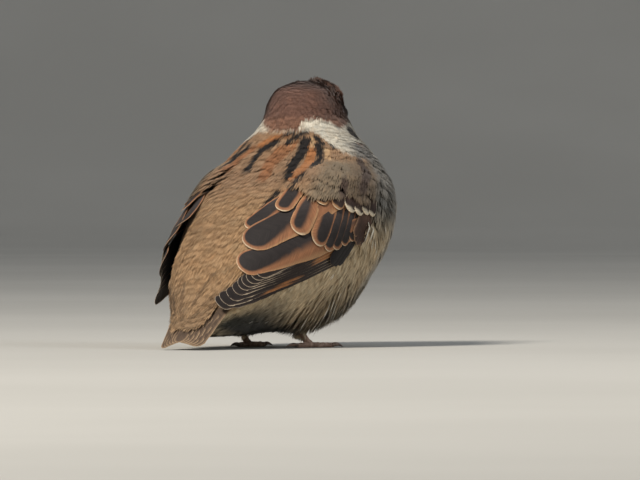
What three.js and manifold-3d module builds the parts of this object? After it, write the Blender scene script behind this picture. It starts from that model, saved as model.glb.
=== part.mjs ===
// Eurasian tree sparrow, life size, standing fluffed out with its wings folded.
//
// Millimetres, +Z up. The bird faces -Y and +X is its left side. The sculpting coordinates put X = 0 in the
// bird's plane of symmetry and Z = 0 on the ground; the finished group is moved so that its origin is the
// middle of the bottom of its bounding box.
//
// The body is one smooth form, skinned over stations that run from the crown to the tail root. Everything
// that lies on it, such as the wings, is placed by body coordinates: a station number, which may be a
// fraction, an angle from the middle of the back, and a height above the surface.

import * as THREE from "three";
import { LoftGeometry } from "three/addons/geometries/LoftGeometry.js";
import { mergeVertices } from "three/addons/utils/BufferGeometryUtils.js";
import Module from "manifold-3d";

const wasm = await Module();
wasm.setup();

const GAP = 0.3; // clearance between two solids that touch
const RIGHT = -1;
const LEFT = 1;
const SIDES = { left: LEFT, right: RIGHT };
const radians = THREE.MathUtils.degToRad;

// ---- Driving dimensions ------------------------------------------------------------------------------

// Each station is an oval seen edge on from the side: its middle-of-the-back point and its
// middle-of-the-breast point, both as [y, z], and half its width. They follow the tips of the plumage.
const STATIONS = [
  { back: [-9.2, 88.8], front: [-15.2, 88.6], halfWidth: 3.0 }, // top of the crown
  { back: [-3.2, 86.0], front: [-21.4, 85.4], halfWidth: 9.6 },
  { back: [0.0, 81.6], front: [-25.8, 80.6], halfWidth: 12.5 }, // brow
  { back: [1.4, 77.0], front: [-28.2, 75.8], halfWidth: 13.9 }, // eye
  { back: [2.2, 72.5], front: [-28.0, 70.8], halfWidth: 16.8 }, // cheek
  { back: [4.4, 68.3], front: [-28.4, 65.8], halfWidth: 22.2 }, // collar
  { back: [8.2, 64.0], front: [-31.2, 60.4], halfWidth: 26.6 }, // neck
  { back: [13.7, 59.4], front: [-35.4, 54.5], halfWidth: 29.8 }, // shoulders
  { back: [20.6, 54.2], front: [-38.0, 48.0], halfWidth: 31.4 }, // mantle
  { back: [28.5, 47.8], front: [-38.2, 41.0], halfWidth: 32.0 },
  { back: [36.3, 40.4], front: [-35.8, 33.0], halfWidth: 31.4 }, // middle of the back
  { back: [43.2, 32.8], front: [-30.5, 24.5], halfWidth: 29.2 },
  { back: [48.6, 25.6], front: [-22.4, 16.8], halfWidth: 25.8 }, // rump
  { back: [52.4, 20.0], front: [-11.0, 10.3], halfWidth: 21.2 },
  { back: [55.2, 15.7], front: [3.0, 6.2], halfWidth: 16.2 }, // belly
  { back: [57.6, 12.0], front: [21.0, 4.8], halfWidth: 11.8 }, // vent
  { back: [59.6, 8.6], front: [40.0, 4.0], halfWidth: 8.8 },
  { back: [60.4, 7.0], front: [50.0, 4.0], halfWidth: 6.6 }, // tips of the tail coverts
];
const HEAD_ROUNDNESS = 2.15; // exponent of the oval: 2 is an ellipse, more is fuller at the shoulders
const TRUNK_ROUNDNESS = 2.4;
const HEAD_ENDS = 4.5; // station numbers of the cuts between the parts of the body
const NECK_ENDS = 6.5;
const TRUNK_ENDS = 15;
const CUT = 0.05; // half a cut's width, in stations
// The head is turned to the left about an upright axis in the neck. The neck takes up the twist.
const HEAD_TURN = 9;
const NECK_AXIS_Y = -9;
const RINGS_PER_STATION = 1.35;
const RING_POINTS = 28;

// The folded wing lies on the body. Three lines run from its front to its tip, each point being
// [station, degrees from the middle of the back]: under the primaries, along the middle, and along the
// inner edge of the tertials.
const WING_LINES = [
  [[9.8, 90], [10.7, 90], [11.6, 86], [12.7, 70], [14.4, 46]],
  [[9.1, 77], [9.7, 59], [10.8, 50], [12.2, 44], [14.3, 38]],
  [[8.5, 58], [8.7, 38], [9.3, 24], [10.7, 17], [14.0, 32]],
];
const WING_UNDER = -1.4; // how far the wing sinks into the plumage
const WING_OVER = 0.9; // how far it stands proud of it
const TIP_STANDS_OFF = 4.2; // the wing tips lift clear of the body as the rump narrows
const COVERTS_END = 0.49; // where the coverts end, as a share of the wing's length
const FEATHERS_START = 0.5; // where the long feathers come out from under them
// The long feathers end one after the other: [where it ends, outer edge, inner edge] for each, in shares
// of the wing's length and breadth.
const TERTIAL_TIPS = [
  [0.7, 0.42, 1.0],
  [0.79, 0.42, 0.8],
  [0.86, 0.42, 0.62],
];
const FLIGHT_TIPS = [
  [0.885, 0.02, 0.4],
  [0.91, 0.02, 0.4],
  [0.935, 0.03, 0.35],
  [0.96, 0.04, 0.29],
  [0.98, 0.05, 0.23],
  [1.0, 0.06, 0.18],
];
const TIP_ROUNDING = 0.015;

const TAIL = {
  root: [0, 29.5, 35.5],
  tip: [-4.4, 66.6, 1.5],
  feathers: 12,
  rootHalfWidth: 4.4,
  tipHalfWidth: 9.2,
  notch: 2.5, // how much longer the outer feathers are than the middle ones
  point: 1.1, // how far each feather's shaft reaches past the corners of its tip
  thickness: 1.0,
  arch: 1.6, // how much the middle of the closed tail stands above its sides
};
const TAIL_ROWS = 5;

const EYE = { x: 8.2, y: -20.8, z: 77.8, radius: 2.9, opening: 2.3, openingX: 11.4 };

const BILL = {
  baseY: -24.2,
  tip: [-37.8, 73.2],
  gapeZ: 74.6, // height of the closed mouth line at the base
  halfWidth: 3.7,
  culmen: 4.5, // height of the upper mandible above the mouth line at the base
  keel: 3.5, // depth of the lower mandible below it
};

const THIGH = { top: [10.4, 3.6, 13.4], bottom: [11.8, 8.0, 5.6], topRadius: 5.8, bottomRadius: 2.3 };
const FOOT = { x: 12.5, y: 4.1, z: 1.2, radius: 1.45, turnedOut: 10 };
const SHANK_RADIUS = 1.15;
const THIGH_SHANK_CUT = 0.1; // where the shank starts, as a share of the way from the knee to the foot
// Degrees from straight ahead, positive outwards; length of the toe and of its claw.
const TOES = {
  inner: { bearing: -24, length: 7.4, claw: 3.6 },
  middle: { bearing: 4, length: 10.6, claw: 4.2 },
  outer: { bearing: 30, length: 8.0, claw: 3.6 },
  hind: { bearing: 176, length: 6.0, claw: 5.4 },
};
const TOE_RADIUS = 0.95;

const PLUMAGE = {
  crown: 0x6e4030,
  neck: 0xcfc8ba,
  back: 0x8b6d4c,
  belly: 0xb3a68e,
  coverts: 0x8a4f30,
  flight: 0x3b2d26,
  tail: 0x4c3a2e,
};
const HORN = 0x26221f;
const LEG = 0x9a6a58;
const EYE_BROWN = 0x120b08;

// ---- Solids ------------------------------------------------------------------------------------------

function toSolid(source) {
  const bare = new THREE.BufferGeometry();
  bare.setAttribute("position", source.getAttribute("position"));
  bare.setIndex(source.index);
  const merged = mergeVertices(bare, 1e-4);
  const faces = [];
  for (let i = 0; i < merged.index.count; i += 3) {
    const corners = [0, 1, 2].map((k) => merged.index.getX(i + k));
    if (new Set(corners).size === 3) faces.push(...corners);
  }
  const vertProperties = merged.attributes.position.array;
  const build = (triVerts) => new wasm.Manifold(new wasm.Mesh({ numProp: 3, vertProperties, triVerts }));
  const made = build(new Uint32Array(faces));
  return made.volume() < 0 ? build(new Uint32Array(faces.reverse())) : made;
}

function toGeometry(solid) {
  const mesh = solid.getMesh();
  const places = new Float32Array(mesh.numVert * 3);
  for (let i = 0; i < mesh.numVert; i++) {
    places.set(mesh.vertProperties.subarray(i * mesh.numProp, i * mesh.numProp + 3), i * 3);
  }
  const geometry = new THREE.BufferGeometry();
  geometry.setAttribute("position", new THREE.BufferAttribute(places, 3));
  geometry.setIndex(new THREE.BufferAttribute(mesh.triVerts, 1));
  geometry.computeVertexNormals();
  return geometry;
}

const range = (count) => Array.from({ length: count }, (_, i) => i);

function centroid(ring) {
  const sum = ring.reduce((total, point) => total.add(point), new THREE.Vector3());
  return sum.divideScalar(ring.length);
}

// Twice the area that a ring encloses, as a vector along its axis.
function ringAxis(ring) {
  const axis = new THREE.Vector3();
  ring.forEach((point, i) => axis.add(point.clone().cross(ring[(i + 1) % ring.length])));
  return axis;
}

// A closed skin over rings, whichever way round they are given.
function skinned(rings) {
  const ahead = centroid(rings[1]).sub(centroid(rings[0]));
  const backwards = ringAxis(rings[0]).dot(ahead) < 0;
  const sections = backwards ? rings.map((ring) => ring.slice().reverse()) : rings;
  return toSolid(new LoftGeometry(sections, { capStart: true, capEnd: true }));
}

// A slab bent into shape. It has the given numbers of rows and columns, and place is called with a row
// number, a share of the way across, and whether the corner belongs to the upper face.
function bent([rows, columns], place) {
  const slab = new THREE.BoxGeometry(1, 1, 1, rows, columns, 1).translate(0.5, 0.5, 0.5);
  const corners = slab.getAttribute("position");
  for (let i = 0; i < corners.count; i++) {
    const row = Math.round(corners.getX(i) * rows);
    corners.setXYZ(i, ...place(row, corners.getY(i), corners.getZ(i) > 0.5).toArray());
  }
  return toSolid(slab);
}

const join = (solids) => solids.reduce((whole, next) => whole.add(next));

const bird = new THREE.Group();

function addNode(name, solid, color, roughness = 0.9) {
  const material = new THREE.MeshStandardMaterial({ color, roughness, metalness: 0 });
  const mesh = new THREE.Mesh(toGeometry(solid), material);
  mesh.name = name;
  bird.add(mesh);
}

// ---- Body --------------------------------------------------------------------------------------------

const backLine = new THREE.CatmullRomCurve3(STATIONS.map((s) => new THREE.Vector3(0, ...s.back)));
const frontLine = new THREE.CatmullRomCurve3(STATIONS.map((s) => new THREE.Vector3(0, ...s.front)));
const widths = STATIONS.map((s, i) => new THREE.Vector3(i, s.halfWidth, 0));
const widthLine = new THREE.CatmullRomCurve3(widths);
const LAST_STATION = STATIONS.length - 1;

function signedPower(value, power) {
  return Math.sign(value) * Math.abs(value) ** power;
}

// A point after the head has been turned, or turned by a share of that.
function turned(point, share = 1) {
  const pivot = new THREE.Vector3(0, NECK_AXIS_Y, 0);
  return point.sub(pivot).applyAxisAngle(new THREE.Vector3(0, 0, 1), radians(HEAD_TURN * share)).add(pivot);
}

// A point of the body's surface. The angle is in degrees from the middle of the back, positive to the left.
function onBody(station, angle) {
  const t = THREE.MathUtils.clamp(station / LAST_STATION, 0, 1);
  const back = backLine.getPoint(t);
  const front = frontLine.getPoint(t);
  const halfWidth = widthLine.getPoint(t).y;
  const trunkShare = THREE.MathUtils.smoothstep(station, HEAD_ENDS, NECK_ENDS + 1);
  const power = 2 / THREE.MathUtils.lerp(HEAD_ROUNDNESS, TRUNK_ROUNDNESS, trunkShare);
  const towardsBack = signedPower(Math.cos(radians(angle)), power);
  const point = new THREE.Vector3().lerpVectors(front, back, (1 + towardsBack) / 2);
  point.x = halfWidth * signedPower(Math.sin(radians(angle)), power);
  return turned(point, 1 - THREE.MathUtils.smoothstep(station, HEAD_ENDS - 1.5, NECK_ENDS + 1));
}

// The direction straight out of the body at a point of its surface.
function outOfBody(station, angle) {
  const along = onBody(station + 0.1, angle).sub(onBody(station - 0.1, angle));
  const around = onBody(station, angle + 2).sub(onBody(station, angle - 2));
  return along.cross(around).normalize().negate();
}

function bodyRing(station) {
  return range(RING_POINTS).map((i) => onBody(station, (i * 360) / RING_POINTS));
}

function bodyPart(from, to) {
  const steps = Math.max(2, Math.round((to - from) * RINGS_PER_STATION));
  return skinned(range(steps + 1).map((i) => bodyRing(THREE.MathUtils.lerp(from, to, i / steps))));
}

// ---- Wings -------------------------------------------------------------------------------------------

const wingLines = WING_LINES.map((line) => {
  const places = line.map(([station, angle]) => new THREE.Vector3(station, angle, 0));
  return new THREE.CatmullRomCurve3(places);
});

// A point of the folded wing: along from 0 at the front to 1 at the tip, across from 0 at the primaries'
// outer edge to 1 at the tertials' inner edge, and height above the plumage.
function onWing(side, along, across, height) {
  const [low, middle, high] = wingLines.map((line) => line.getPoint(THREE.MathUtils.clamp(along, 0, 1)));
  const place = low
    .multiplyScalar((1 - across) * (1 - 2 * across))
    .add(middle.multiplyScalar(4 * across * (1 - across)))
    .add(high.multiplyScalar(across * (2 * across - 1)));
  const standsOff = TIP_STANDS_OFF * THREE.MathUtils.smoothstep(along, 0.6, 1);
  const point = onBody(place.x, place.y);
  point.addScaledVector(outOfBody(place.x, place.y), height + standsOff);
  point.x *= side;
  return point;
}

// A piece of the wing. It has a row of corners at each of the given lengths, between the two edges that
// belong to that row.
function wingPiece(side, alongs, edges, [under, over], breadths = 3) {
  return bent([alongs.length - 1, breadths], (row, acrossShare, top) => {
    const across = THREE.MathUtils.lerp(edges[row][0], edges[row][1], acrossShare);
    return onWing(side, alongs[row], across, top ? over : under);
  });
}

// The rows and edges of a fan of feathers whose tips end one after the other. Each tip is [along, outer
// edge, inner edge]: where the feather ends, and how wide the fan is up to there.
function fan(tips, start) {
  const alongs = [start];
  const edges = [tips[0].slice(1)];
  tips.forEach(([along, outer, inner], i) => {
    const [, nextOuter, nextInner] = tips[Math.min(i + 1, tips.length - 1)];
    const tapered = i + 1 < tips.length ? nextInner : THREE.MathUtils.lerp(outer, inner, 0.45);
    if (i === 0) {
      alongs.push((start + along) / 2);
      edges.push([outer, inner]);
    }
    const nearEnd = THREE.MathUtils.lerp(inner, tapered, 0.3);
    alongs.push(along - TIP_ROUNDING, along - TIP_ROUNDING * 0.35, along);
    edges.push([outer, inner], [nextOuter, nearEnd], [nextOuter, tapered]);
  });
  return { alongs, edges };
}

// The bed that the wing lies in, larger than the wing on every side.
function wingBed(side) {
  const rows = range(13);
  const edges = rows.map(() => [-0.03, 1.03]);
  return wingPiece(side, rows.map((i) => i / 12), edges, [WING_UNDER - GAP - 1.1, WING_OVER + 4], 5);
}

function addWing(name, side) {
  const rows = range(9);
  const covertRows = rows.map((i) => THREE.MathUtils.lerp(0.015, COVERTS_END, i / 8));
  const coverts = wingPiece(side, covertRows, rows.map(() => [0, 1]), [WING_UNDER, WING_OVER], 6);
  const inner = fan(TERTIAL_TIPS, FEATHERS_START);
  const outer = fan(FLIGHT_TIPS, FEATHERS_START);
  addNode(`wing_${name}_coverts`, coverts, PLUMAGE.coverts);
  addNode(
    `wing_${name}_tertials`,
    wingPiece(side, inner.alongs, inner.edges, [WING_UNDER, WING_OVER - 0.2]),
    PLUMAGE.flight,
  );
  addNode(
    `wing_${name}_flight_feathers`,
    wingPiece(side, outer.alongs, outer.edges, [WING_UNDER, WING_OVER - 0.6]),
    PLUMAGE.flight,
  );
}

// ---- Tail --------------------------------------------------------------------------------------------

const tailRoot = new THREE.Vector3(...TAIL.root);
const tailTip = new THREE.Vector3(...TAIL.tip);
const tailAlong = tailTip.clone().sub(tailRoot);
const tailLength = tailAlong.length();
tailAlong.normalize();
const tailAcross = new THREE.Vector3(1, 0, 0).addScaledVector(tailAlong, -tailAlong.x).normalize();
const tailOut = new THREE.Vector3().crossVectors(tailAlong, tailAcross).normalize().negate();

function onTail(distance, across, height) {
  const droop = TAIL.arch * (across / TAIL.tipHalfWidth) ** 2;
  const point = tailRoot.clone().addScaledVector(tailAlong, distance).addScaledVector(tailAcross, across);
  point.addScaledVector(tailOut, height - droop);
  return point.setZ(Math.max(point.z, 0));
}

// The closed tail. Each feather ends a little further out than its inner neighbour, in a blunt point, and
// the tip rests on the ground.
function tail(extra = 0) {
  const columns = TAIL.feathers * 2;
  return bent([TAIL_ROWS, columns], (row, acrossShare, top) => {
    const share = 2 * acrossShare - 1; // -1 at the right edge to 1 at the left
    const t = row / TAIL_ROWS;
    const feather = acrossShare * TAIL.feathers;
    const point = TAIL.point * (1 - 2 * Math.abs(feather - Math.floor(feather) - 0.5));
    const length = tailLength - TAIL.notch * (1 - Math.abs(share)) + (t > 0.9 ? point : 0);
    const halfBreadth = THREE.MathUtils.lerp(TAIL.rootHalfWidth, TAIL.tipHalfWidth, t ** 0.8) + extra;
    const height = (top ? 1 : -1) * (TAIL.thickness / 2 + extra);
    return onTail(length * t + extra * Math.sign(t - 0.5), share * halfBreadth, height);
  });
}

// ---- Head --------------------------------------------------------------------------------------------

function ball(radius, centre, fineness = 12) {
  const sphere = new THREE.SphereGeometry(radius, fineness, fineness / 2 + 2);
  return toSolid(sphere.translate(centre.x, centre.y, centre.z));
}

function eyeball(side, radius, x) {
  const centre = new THREE.Vector3(side * x, EYE.y, EYE.z);
  return ball(radius, turned(centre));
}

// One mandible, from its root in the face to the tip. It is flat along the closed mouth and domed away
// from it.
function mandible(height, extra) {
  const lengths = 9;
  const curve = 9;
  const rings = range(lengths + 1).map((k) => {
    const t = k / lengths;
    const taper = Math.sqrt(1 - t ** 1.55) * 0.97 + 0.03;
    const away = Math.sign(height);
    const mouthZ = THREE.MathUtils.lerp(BILL.gapeZ, BILL.tip[1], t ** 1.6) + (away * GAP) / 2;
    const y = THREE.MathUtils.lerp(BILL.baseY + extra, BILL.tip[0], t);
    return range(curve).map((i) => {
      const angle = (Math.PI * i) / (curve - 1);
      const x = (BILL.halfWidth * taper + extra) * Math.cos(angle);
      const dome = (height * taper + away * extra) * Math.abs(Math.sin(angle)) ** 0.9;
      const atMouth = i === 0 || i === curve - 1;
      return turned(new THREE.Vector3(x, y, mouthZ + (atMouth ? -away * extra : dome)));
    });
  });
  return skinned(rings);
}

function addHead() {
  const eyes = Object.values(SIDES).map((side) => eyeball(side, EYE.radius + GAP, EYE.x));
  const openings = Object.values(SIDES).map((side) => eyeball(side, EYE.opening, EYE.openingX));
  const billRoom = mandible(BILL.culmen, GAP + 0.1).add(mandible(-BILL.keel, GAP + 0.1));
  const head = bodyPart(0, HEAD_ENDS - CUT).subtract(billRoom).subtract(join([...eyes, ...openings]));
  addNode("head", head, PLUMAGE.crown);
  addNode("bill_upper", mandible(BILL.culmen, 0), HORN, 0.4);
  addNode("bill_lower", mandible(-BILL.keel, 0), HORN, 0.4);
  for (const [name, side] of Object.entries(SIDES)) {
    addNode(`eye_${name}`, eyeball(side, EYE.radius, EYE.x), EYE_BROWN, 0.05);
  }
}

// ---- Legs --------------------------------------------------------------------------------------------

// A round limb along a curve, with a radius that changes along it. Nothing goes below the ground, so a
// part that lies on it gets a flat sole.
function limb(points, radii, sides = 10, steps = 6) {
  const curve = new THREE.CatmullRomCurve3(points);
  const thickness = new THREE.CatmullRomCurve3(radii.map((r, i) => new THREE.Vector3(i, r, 0)));
  const frames = curve.computeFrenetFrames(steps, false);
  const rings = range(steps + 1).map((k) => {
    const middle = curve.getPointAt(k / steps);
    const radius = thickness.getPoint(k / steps).y;
    return range(sides).map((i) => {
      const angle = (2 * Math.PI * i) / sides;
      const point = middle.clone();
      point.addScaledVector(frames.normals[k], radius * Math.cos(angle));
      point.addScaledVector(frames.binormals[k], radius * Math.sin(angle));
      point.z = Math.max(point.z, 0);
      return point;
    });
  });
  return skinned(rings);
}

function thigh(side, extra = 0) {
  const top = new THREE.Vector3(side * THIGH.top[0], THIGH.top[1], THIGH.top[2]);
  const bottom = new THREE.Vector3(side * THIGH.bottom[0], THIGH.bottom[1], THIGH.bottom[2]);
  const middle = top.clone().lerp(bottom, 0.5);
  const radii = [THIGH.topRadius, THIGH.topRadius * 0.92, THIGH.bottomRadius].map((r) => r + extra);
  const reach = bottom.clone().sub(top).setLength(extra);
  return limb([top.sub(reach), middle, bottom.add(reach)], radii, 14, 4);
}

// A toe with its claw. The toe swells at its pads and lies flat on the ground.
function toe(ankle, bearing, length, extra = 0) {
  const { at } = outward(ankle, bearing);
  const low = TOE_RADIUS * 0.8;
  const radii = [1.0, 0.86, 1.0, 0.84, 0.72].map((r) => r * TOE_RADIUS + extra);
  return limb([at(0, low), at(length * 0.5, low), at(length, low)], radii, 8, 4);
}

function claw(ankle, bearing, start, length) {
  const { at } = outward(ankle, bearing);
  const low = TOE_RADIUS * 0.8;
  const points = [at(start, low), at(start + length * 0.45, low * 1.5), at(start + length, 0.3)];
  return limb(points, [0.62, 0.5, 0.25], 6, 4);
}

// Directions over the ground: at(distance, height) is a point that far from the ankle.
function outward(ankle, bearing) {
  const ahead = new THREE.Vector3(Math.sin(bearing), -Math.cos(bearing), 0);
  return { at: (distance, z) => ankle.clone().addScaledVector(ahead, distance).setZ(z) };
}

function addLeg(name, side) {
  const ankle = new THREE.Vector3(side * FOOT.x, FOOT.y, FOOT.z);
  const knee = new THREE.Vector3(side * THIGH.bottom[0], THIGH.bottom[1], THIGH.bottom[2]);
  const foot = [ball(FOOT.radius, ankle, 10)];
  const footRoom = [ball(FOOT.radius + GAP, ankle, 10)];
  for (const [toeName, { bearing, length, claw: clawLength }] of Object.entries(TOES)) {
    const turn = radians(bearing + FOOT.turnedOut) * side;
    foot.push(toe(ankle, turn, length));
    footRoom.push(toe(ankle, turn, length, GAP + 0.05));
    addNode(`claw_${toeName}_${name}`, claw(ankle, turn, length + GAP + 0.15, clawLength), HORN, 0.4);
  }
  const shankTop = knee.clone().lerp(ankle, THIGH_SHANK_CUT);
  const shankLine = [shankTop, shankTop.clone().lerp(ankle, 0.5), ankle];
  const shankRadii = [1, 0.92, 1.08].map((r) => r * SHANK_RADIUS);
  const shank = limb(shankLine, shankRadii, 10, 3);
  const grownShank = limb(shankLine, shankRadii.map((r) => r + GAP + 0.1), 10, 3);
  const shankRoom = grownShank.add(ball(SHANK_RADIUS + GAP + 0.1, shankTop, 10));
  const belowGround = toSolid(new THREE.BoxGeometry(60, 60, 20).translate(ankle.x, ankle.y, -10));
  addNode(`foot_${name}`, join(foot).subtract(belowGround), LEG, 0.6);
  addNode(`shank_${name}`, shank.subtract(join(footRoom)), LEG, 0.6);
  addNode(`thigh_${name}`, thigh(side).subtract(shankRoom), PLUMAGE.belly);
}

// ---- Assembly ----------------------------------------------------------------------------------------

addHead();
addNode("neck", bodyPart(HEAD_ENDS + CUT, NECK_ENDS - CUT), PLUMAGE.neck);

const wingBeds = Object.values(SIDES).map(wingBed);
const thighRoom = Object.values(SIDES).map((side) => thigh(side, GAP));
const roomInTrunk = join([...wingBeds, ...thighRoom, tail(GAP)]);
const trunk = bodyPart(NECK_ENDS + CUT, TRUNK_ENDS - CUT);
addNode("trunk", trunk.subtract(roomInTrunk), PLUMAGE.back);
const vent = bodyPart(TRUNK_ENDS + CUT, LAST_STATION);
addNode("tail_coverts", vent.subtract(roomInTrunk), PLUMAGE.back);
addNode("tail", tail(), PLUMAGE.tail);
for (const [name, side] of Object.entries(SIDES)) {
  addWing(name, side);
  addLeg(name, side);
}

const bounds = new THREE.Box3().setFromObject(bird);
const middle = bounds.getCenter(new THREE.Vector3());
bird.position.set(-middle.x, -middle.y, -bounds.min.z);

export default bird;
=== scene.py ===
"""A life-size still model of a Eurasian tree sparrow, standing with its tail laid on the floor.

The skin, eyes, bill and claws stand for the solids of the frame, and every feather lies over the skin.
Work is in millimetres in the sculpture's own coordinates; meshes are put down in metres in the row frame.
"""

import math

import bmesh
import bpy
import numpy as np
from mathutils import Matrix, Vector
from mathutils.kdtree import KDTree


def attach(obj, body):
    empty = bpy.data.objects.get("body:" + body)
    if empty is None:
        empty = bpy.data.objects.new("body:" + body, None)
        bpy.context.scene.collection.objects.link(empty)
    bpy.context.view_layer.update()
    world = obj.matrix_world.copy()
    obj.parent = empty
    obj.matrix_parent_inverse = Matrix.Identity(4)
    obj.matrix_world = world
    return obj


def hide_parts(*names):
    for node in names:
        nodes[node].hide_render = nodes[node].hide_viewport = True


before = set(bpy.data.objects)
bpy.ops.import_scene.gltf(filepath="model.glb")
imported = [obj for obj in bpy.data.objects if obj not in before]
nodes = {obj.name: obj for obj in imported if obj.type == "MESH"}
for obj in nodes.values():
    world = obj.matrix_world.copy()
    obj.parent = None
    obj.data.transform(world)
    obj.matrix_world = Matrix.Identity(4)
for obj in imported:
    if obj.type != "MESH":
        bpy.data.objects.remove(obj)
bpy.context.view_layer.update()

MM = 0.001
TO_ROW = np.array([0.0, -14.4516, 0.0])  # from the sculpture's coordinates to the row frame

# ---- Body form ---------------------------------------------------------------------------------------

# Back line y and z, front line y and z, and half width, at each station from the crown to the vent.
STATIONS = np.array(
    [
        [-9.2, 88.8, -15.2, 88.6, 3.0],
        [-3.2, 86.0, -21.4, 85.4, 9.6],
        [0.0, 81.6, -25.8, 80.6, 12.5],
        [1.4, 77.0, -28.2, 75.8, 13.9],
        [2.2, 72.5, -28.0, 70.8, 16.8],
        [4.4, 68.3, -28.4, 65.8, 22.2],
        [8.2, 64.0, -31.2, 60.4, 26.6],
        [13.7, 59.4, -35.4, 54.5, 29.8],
        [20.6, 54.2, -38.0, 48.0, 31.4],
        [28.5, 47.8, -38.2, 41.0, 32.0],
        [36.3, 40.4, -35.8, 33.0, 31.4],
        [43.2, 32.8, -30.5, 24.5, 29.2],
        [48.6, 25.6, -22.4, 16.8, 25.8],
        [52.4, 20.0, -11.0, 10.3, 21.2],
        [55.2, 15.7, 3.0, 6.2, 16.2],
        [57.6, 12.0, 21.0, 4.8, 11.8],
        [59.6, 8.6, 40.0, 4.0, 8.8],
        [60.4, 7.0, 50.0, 4.0, 6.6],
    ]
)
HEAD_ROUNDNESS, TRUNK_ROUNDNESS = 2.15, 2.4
HEAD_ENDS, NECK_ENDS = 4.5, 6.5
HEAD_TURN, NECK_AXIS_Y = math.radians(9.0), -9.0
EYE_CENTRE, EYE_RADIUS = np.array([8.85, -20.75, 77.85]), 2.9
EYE_OUT = np.array([1.0, -0.45, 0.15]) / math.hypot(1.0, 0.45, 0.15)
BILL_ROOT = np.array([0.0, -25.0, 75.4])
TAIL_ROOT, TAIL_TIP = np.array([0.0, 29.5, 35.5]), np.array([-4.4, 66.6, 1.5])
TAIL_HALF_WIDTH, TAIL_ARCH = 9.2, 1.6


def smooth(x, low, high):
    t = np.clip((np.asarray(x, float) - low) / (high - low), 0.0, 1.0)
    return t * t * (3.0 - 2.0 * t)


def unit(v):
    return v / np.maximum(np.linalg.norm(v, axis=-1, keepdims=True), 1e-9)


def curve_through(points, place):
    """Centripetal curve through the points; place runs from 0 at the first to 1 for each step along."""
    ends = np.vstack([2 * points[0] - points[1], points, 2 * points[-1] - points[-2]])
    last = len(points) - 1
    place = np.clip(place, 0, last)
    i = np.minimum(place.astype(int), last - 1)
    w = (place - i)[:, None]
    p0, p1, p2, p3 = (ends[i + k] for k in range(4))
    steps = ((p0, p1), (p1, p2), (p2, p3))
    d0, d1, d2 = (np.maximum(np.sum((b - a) ** 2, axis=1) ** 0.25, 1e-4)[:, None] for a, b in steps)
    m1 = ((p1 - p0) / d0 - (p2 - p0) / (d0 + d1) + (p2 - p1) / d1) * d1
    m2 = ((p2 - p1) / d1 - (p3 - p1) / (d1 + d2) + (p3 - p2) / d2) * d1
    return p1 + m1 * w + (3 * (p2 - p1) - 2 * m1 - m2) * w**2 + (2 * (p1 - p2) + m1 + m2) * w**3


def signed_power(value, power):
    return np.sign(value) * np.abs(value) ** power


def turned(points, share=1.0):
    """Points turned about the neck by the turn of the head, or a share of it."""
    points = np.asarray(points, float)
    angle = HEAD_TURN * np.asarray(share, float)
    c, s = np.cos(angle), np.sin(angle)
    x, y = points[..., 0], points[..., 1] - NECK_AXIS_Y
    return np.stack([x * c - y * s, x * s + y * c + NECK_AXIS_Y, points[..., 2]], axis=-1)


def body_section(s, a):
    """Points of the body before the head is turned. s is the station, a degrees from the back to the left."""
    s, a = np.broadcast_arrays(np.asarray(s, float), np.asarray(a, float))
    shape, s, a = s.shape, s.ravel(), np.radians(a.ravel())
    back = curve_through(STATIONS[:, 0:2], s)
    front = curve_through(STATIONS[:, 2:4], s)
    steps = np.column_stack([np.arange(len(STATIONS)), STATIONS[:, 4]])
    width = curve_through(steps, s)[:, 1]
    roundness = HEAD_ROUNDNESS + (TRUNK_ROUNDNESS - HEAD_ROUNDNESS) * smooth(s, HEAD_ENDS, NECK_ENDS + 1)
    share = (1 + signed_power(np.cos(a), 2 / roundness))[:, None] / 2
    yz = front + (back - front) * share
    x = width * signed_power(np.sin(a), 2 / roundness)
    return np.column_stack([x, yz]).reshape(shape + (3,))


def body_point(s, a):
    share = 1 - smooth(s, HEAD_ENDS - 1.5, NECK_ENDS + 1)
    return turned(body_section(s, a), share)


def body_normal(s, a):
    along = body_point(s + 0.1, a) - body_point(s - 0.1, a)
    around = body_point(s, a + 2.0) - body_point(s, a - 2.0)
    return -unit(np.cross(along, around))


class Form:
    """A dense set of places on a surface, with the way out of it, the way down it, and its coordinates."""

    def __init__(self, points, normals, downs, stations, angles):
        self.p, self.n, self.d = points, unit(normals), unit(downs)
        self.s, self.a = stations, angles
        self.tree = KDTree(len(points))
        for i, p in enumerate(points):
            self.tree.insert(p, i)
        self.tree.balance()

    def near(self, points):
        find = self.tree.find
        return np.array([find(p)[1] for p in points.reshape(-1, 3)]).reshape(points.shape[:-1])

    def settle(self, points):
        """The nearest places on the surface, with the way out there."""
        i = self.near(points)
        n = self.n[i]
        return points - n * np.sum((points - self.p[i]) * n, axis=-1, keepdims=True), n, i


CAP_MIDDLE = body_point(np.array([0.0, 0.0]), np.array([0.0, 180.0])).mean(axis=0)


def body_form():
    s, a = np.meshgrid(np.arange(0, 17.01, 0.1), np.arange(-180, 180, 1.5), indexing="ij")
    s, a = s.ravel(), a.ravel()
    p, n = body_point(s, a), body_normal(np.clip(s, 0.1, 16.9), a)
    d = body_point(np.minimum(s + 0.1, 17.0), a) - body_point(np.minimum(s, 16.9), a)
    rim_a = np.arange(-180, 180, 12.0)
    rim = body_point(np.zeros_like(rim_a), rim_a)
    parts = [(p, n, d, s, a)]
    for k in range(5):
        share = (k + 0.3) / 5
        cap = CAP_MIDDLE + (rim - CAP_MIDDLE) * share + np.array([0, 0, 0.15 * (1 - share**2)])
        out = np.array([0, 0, 1.0]) + 0.35 * share * unit(rim - CAP_MIDDLE)
        parts.append((cap, out, rim - CAP_MIDDLE, np.full_like(rim_a, share - 1), rim_a))
    return Form(*(np.concatenate(x) for x in zip(*parts)))


BODY = body_form()


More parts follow.
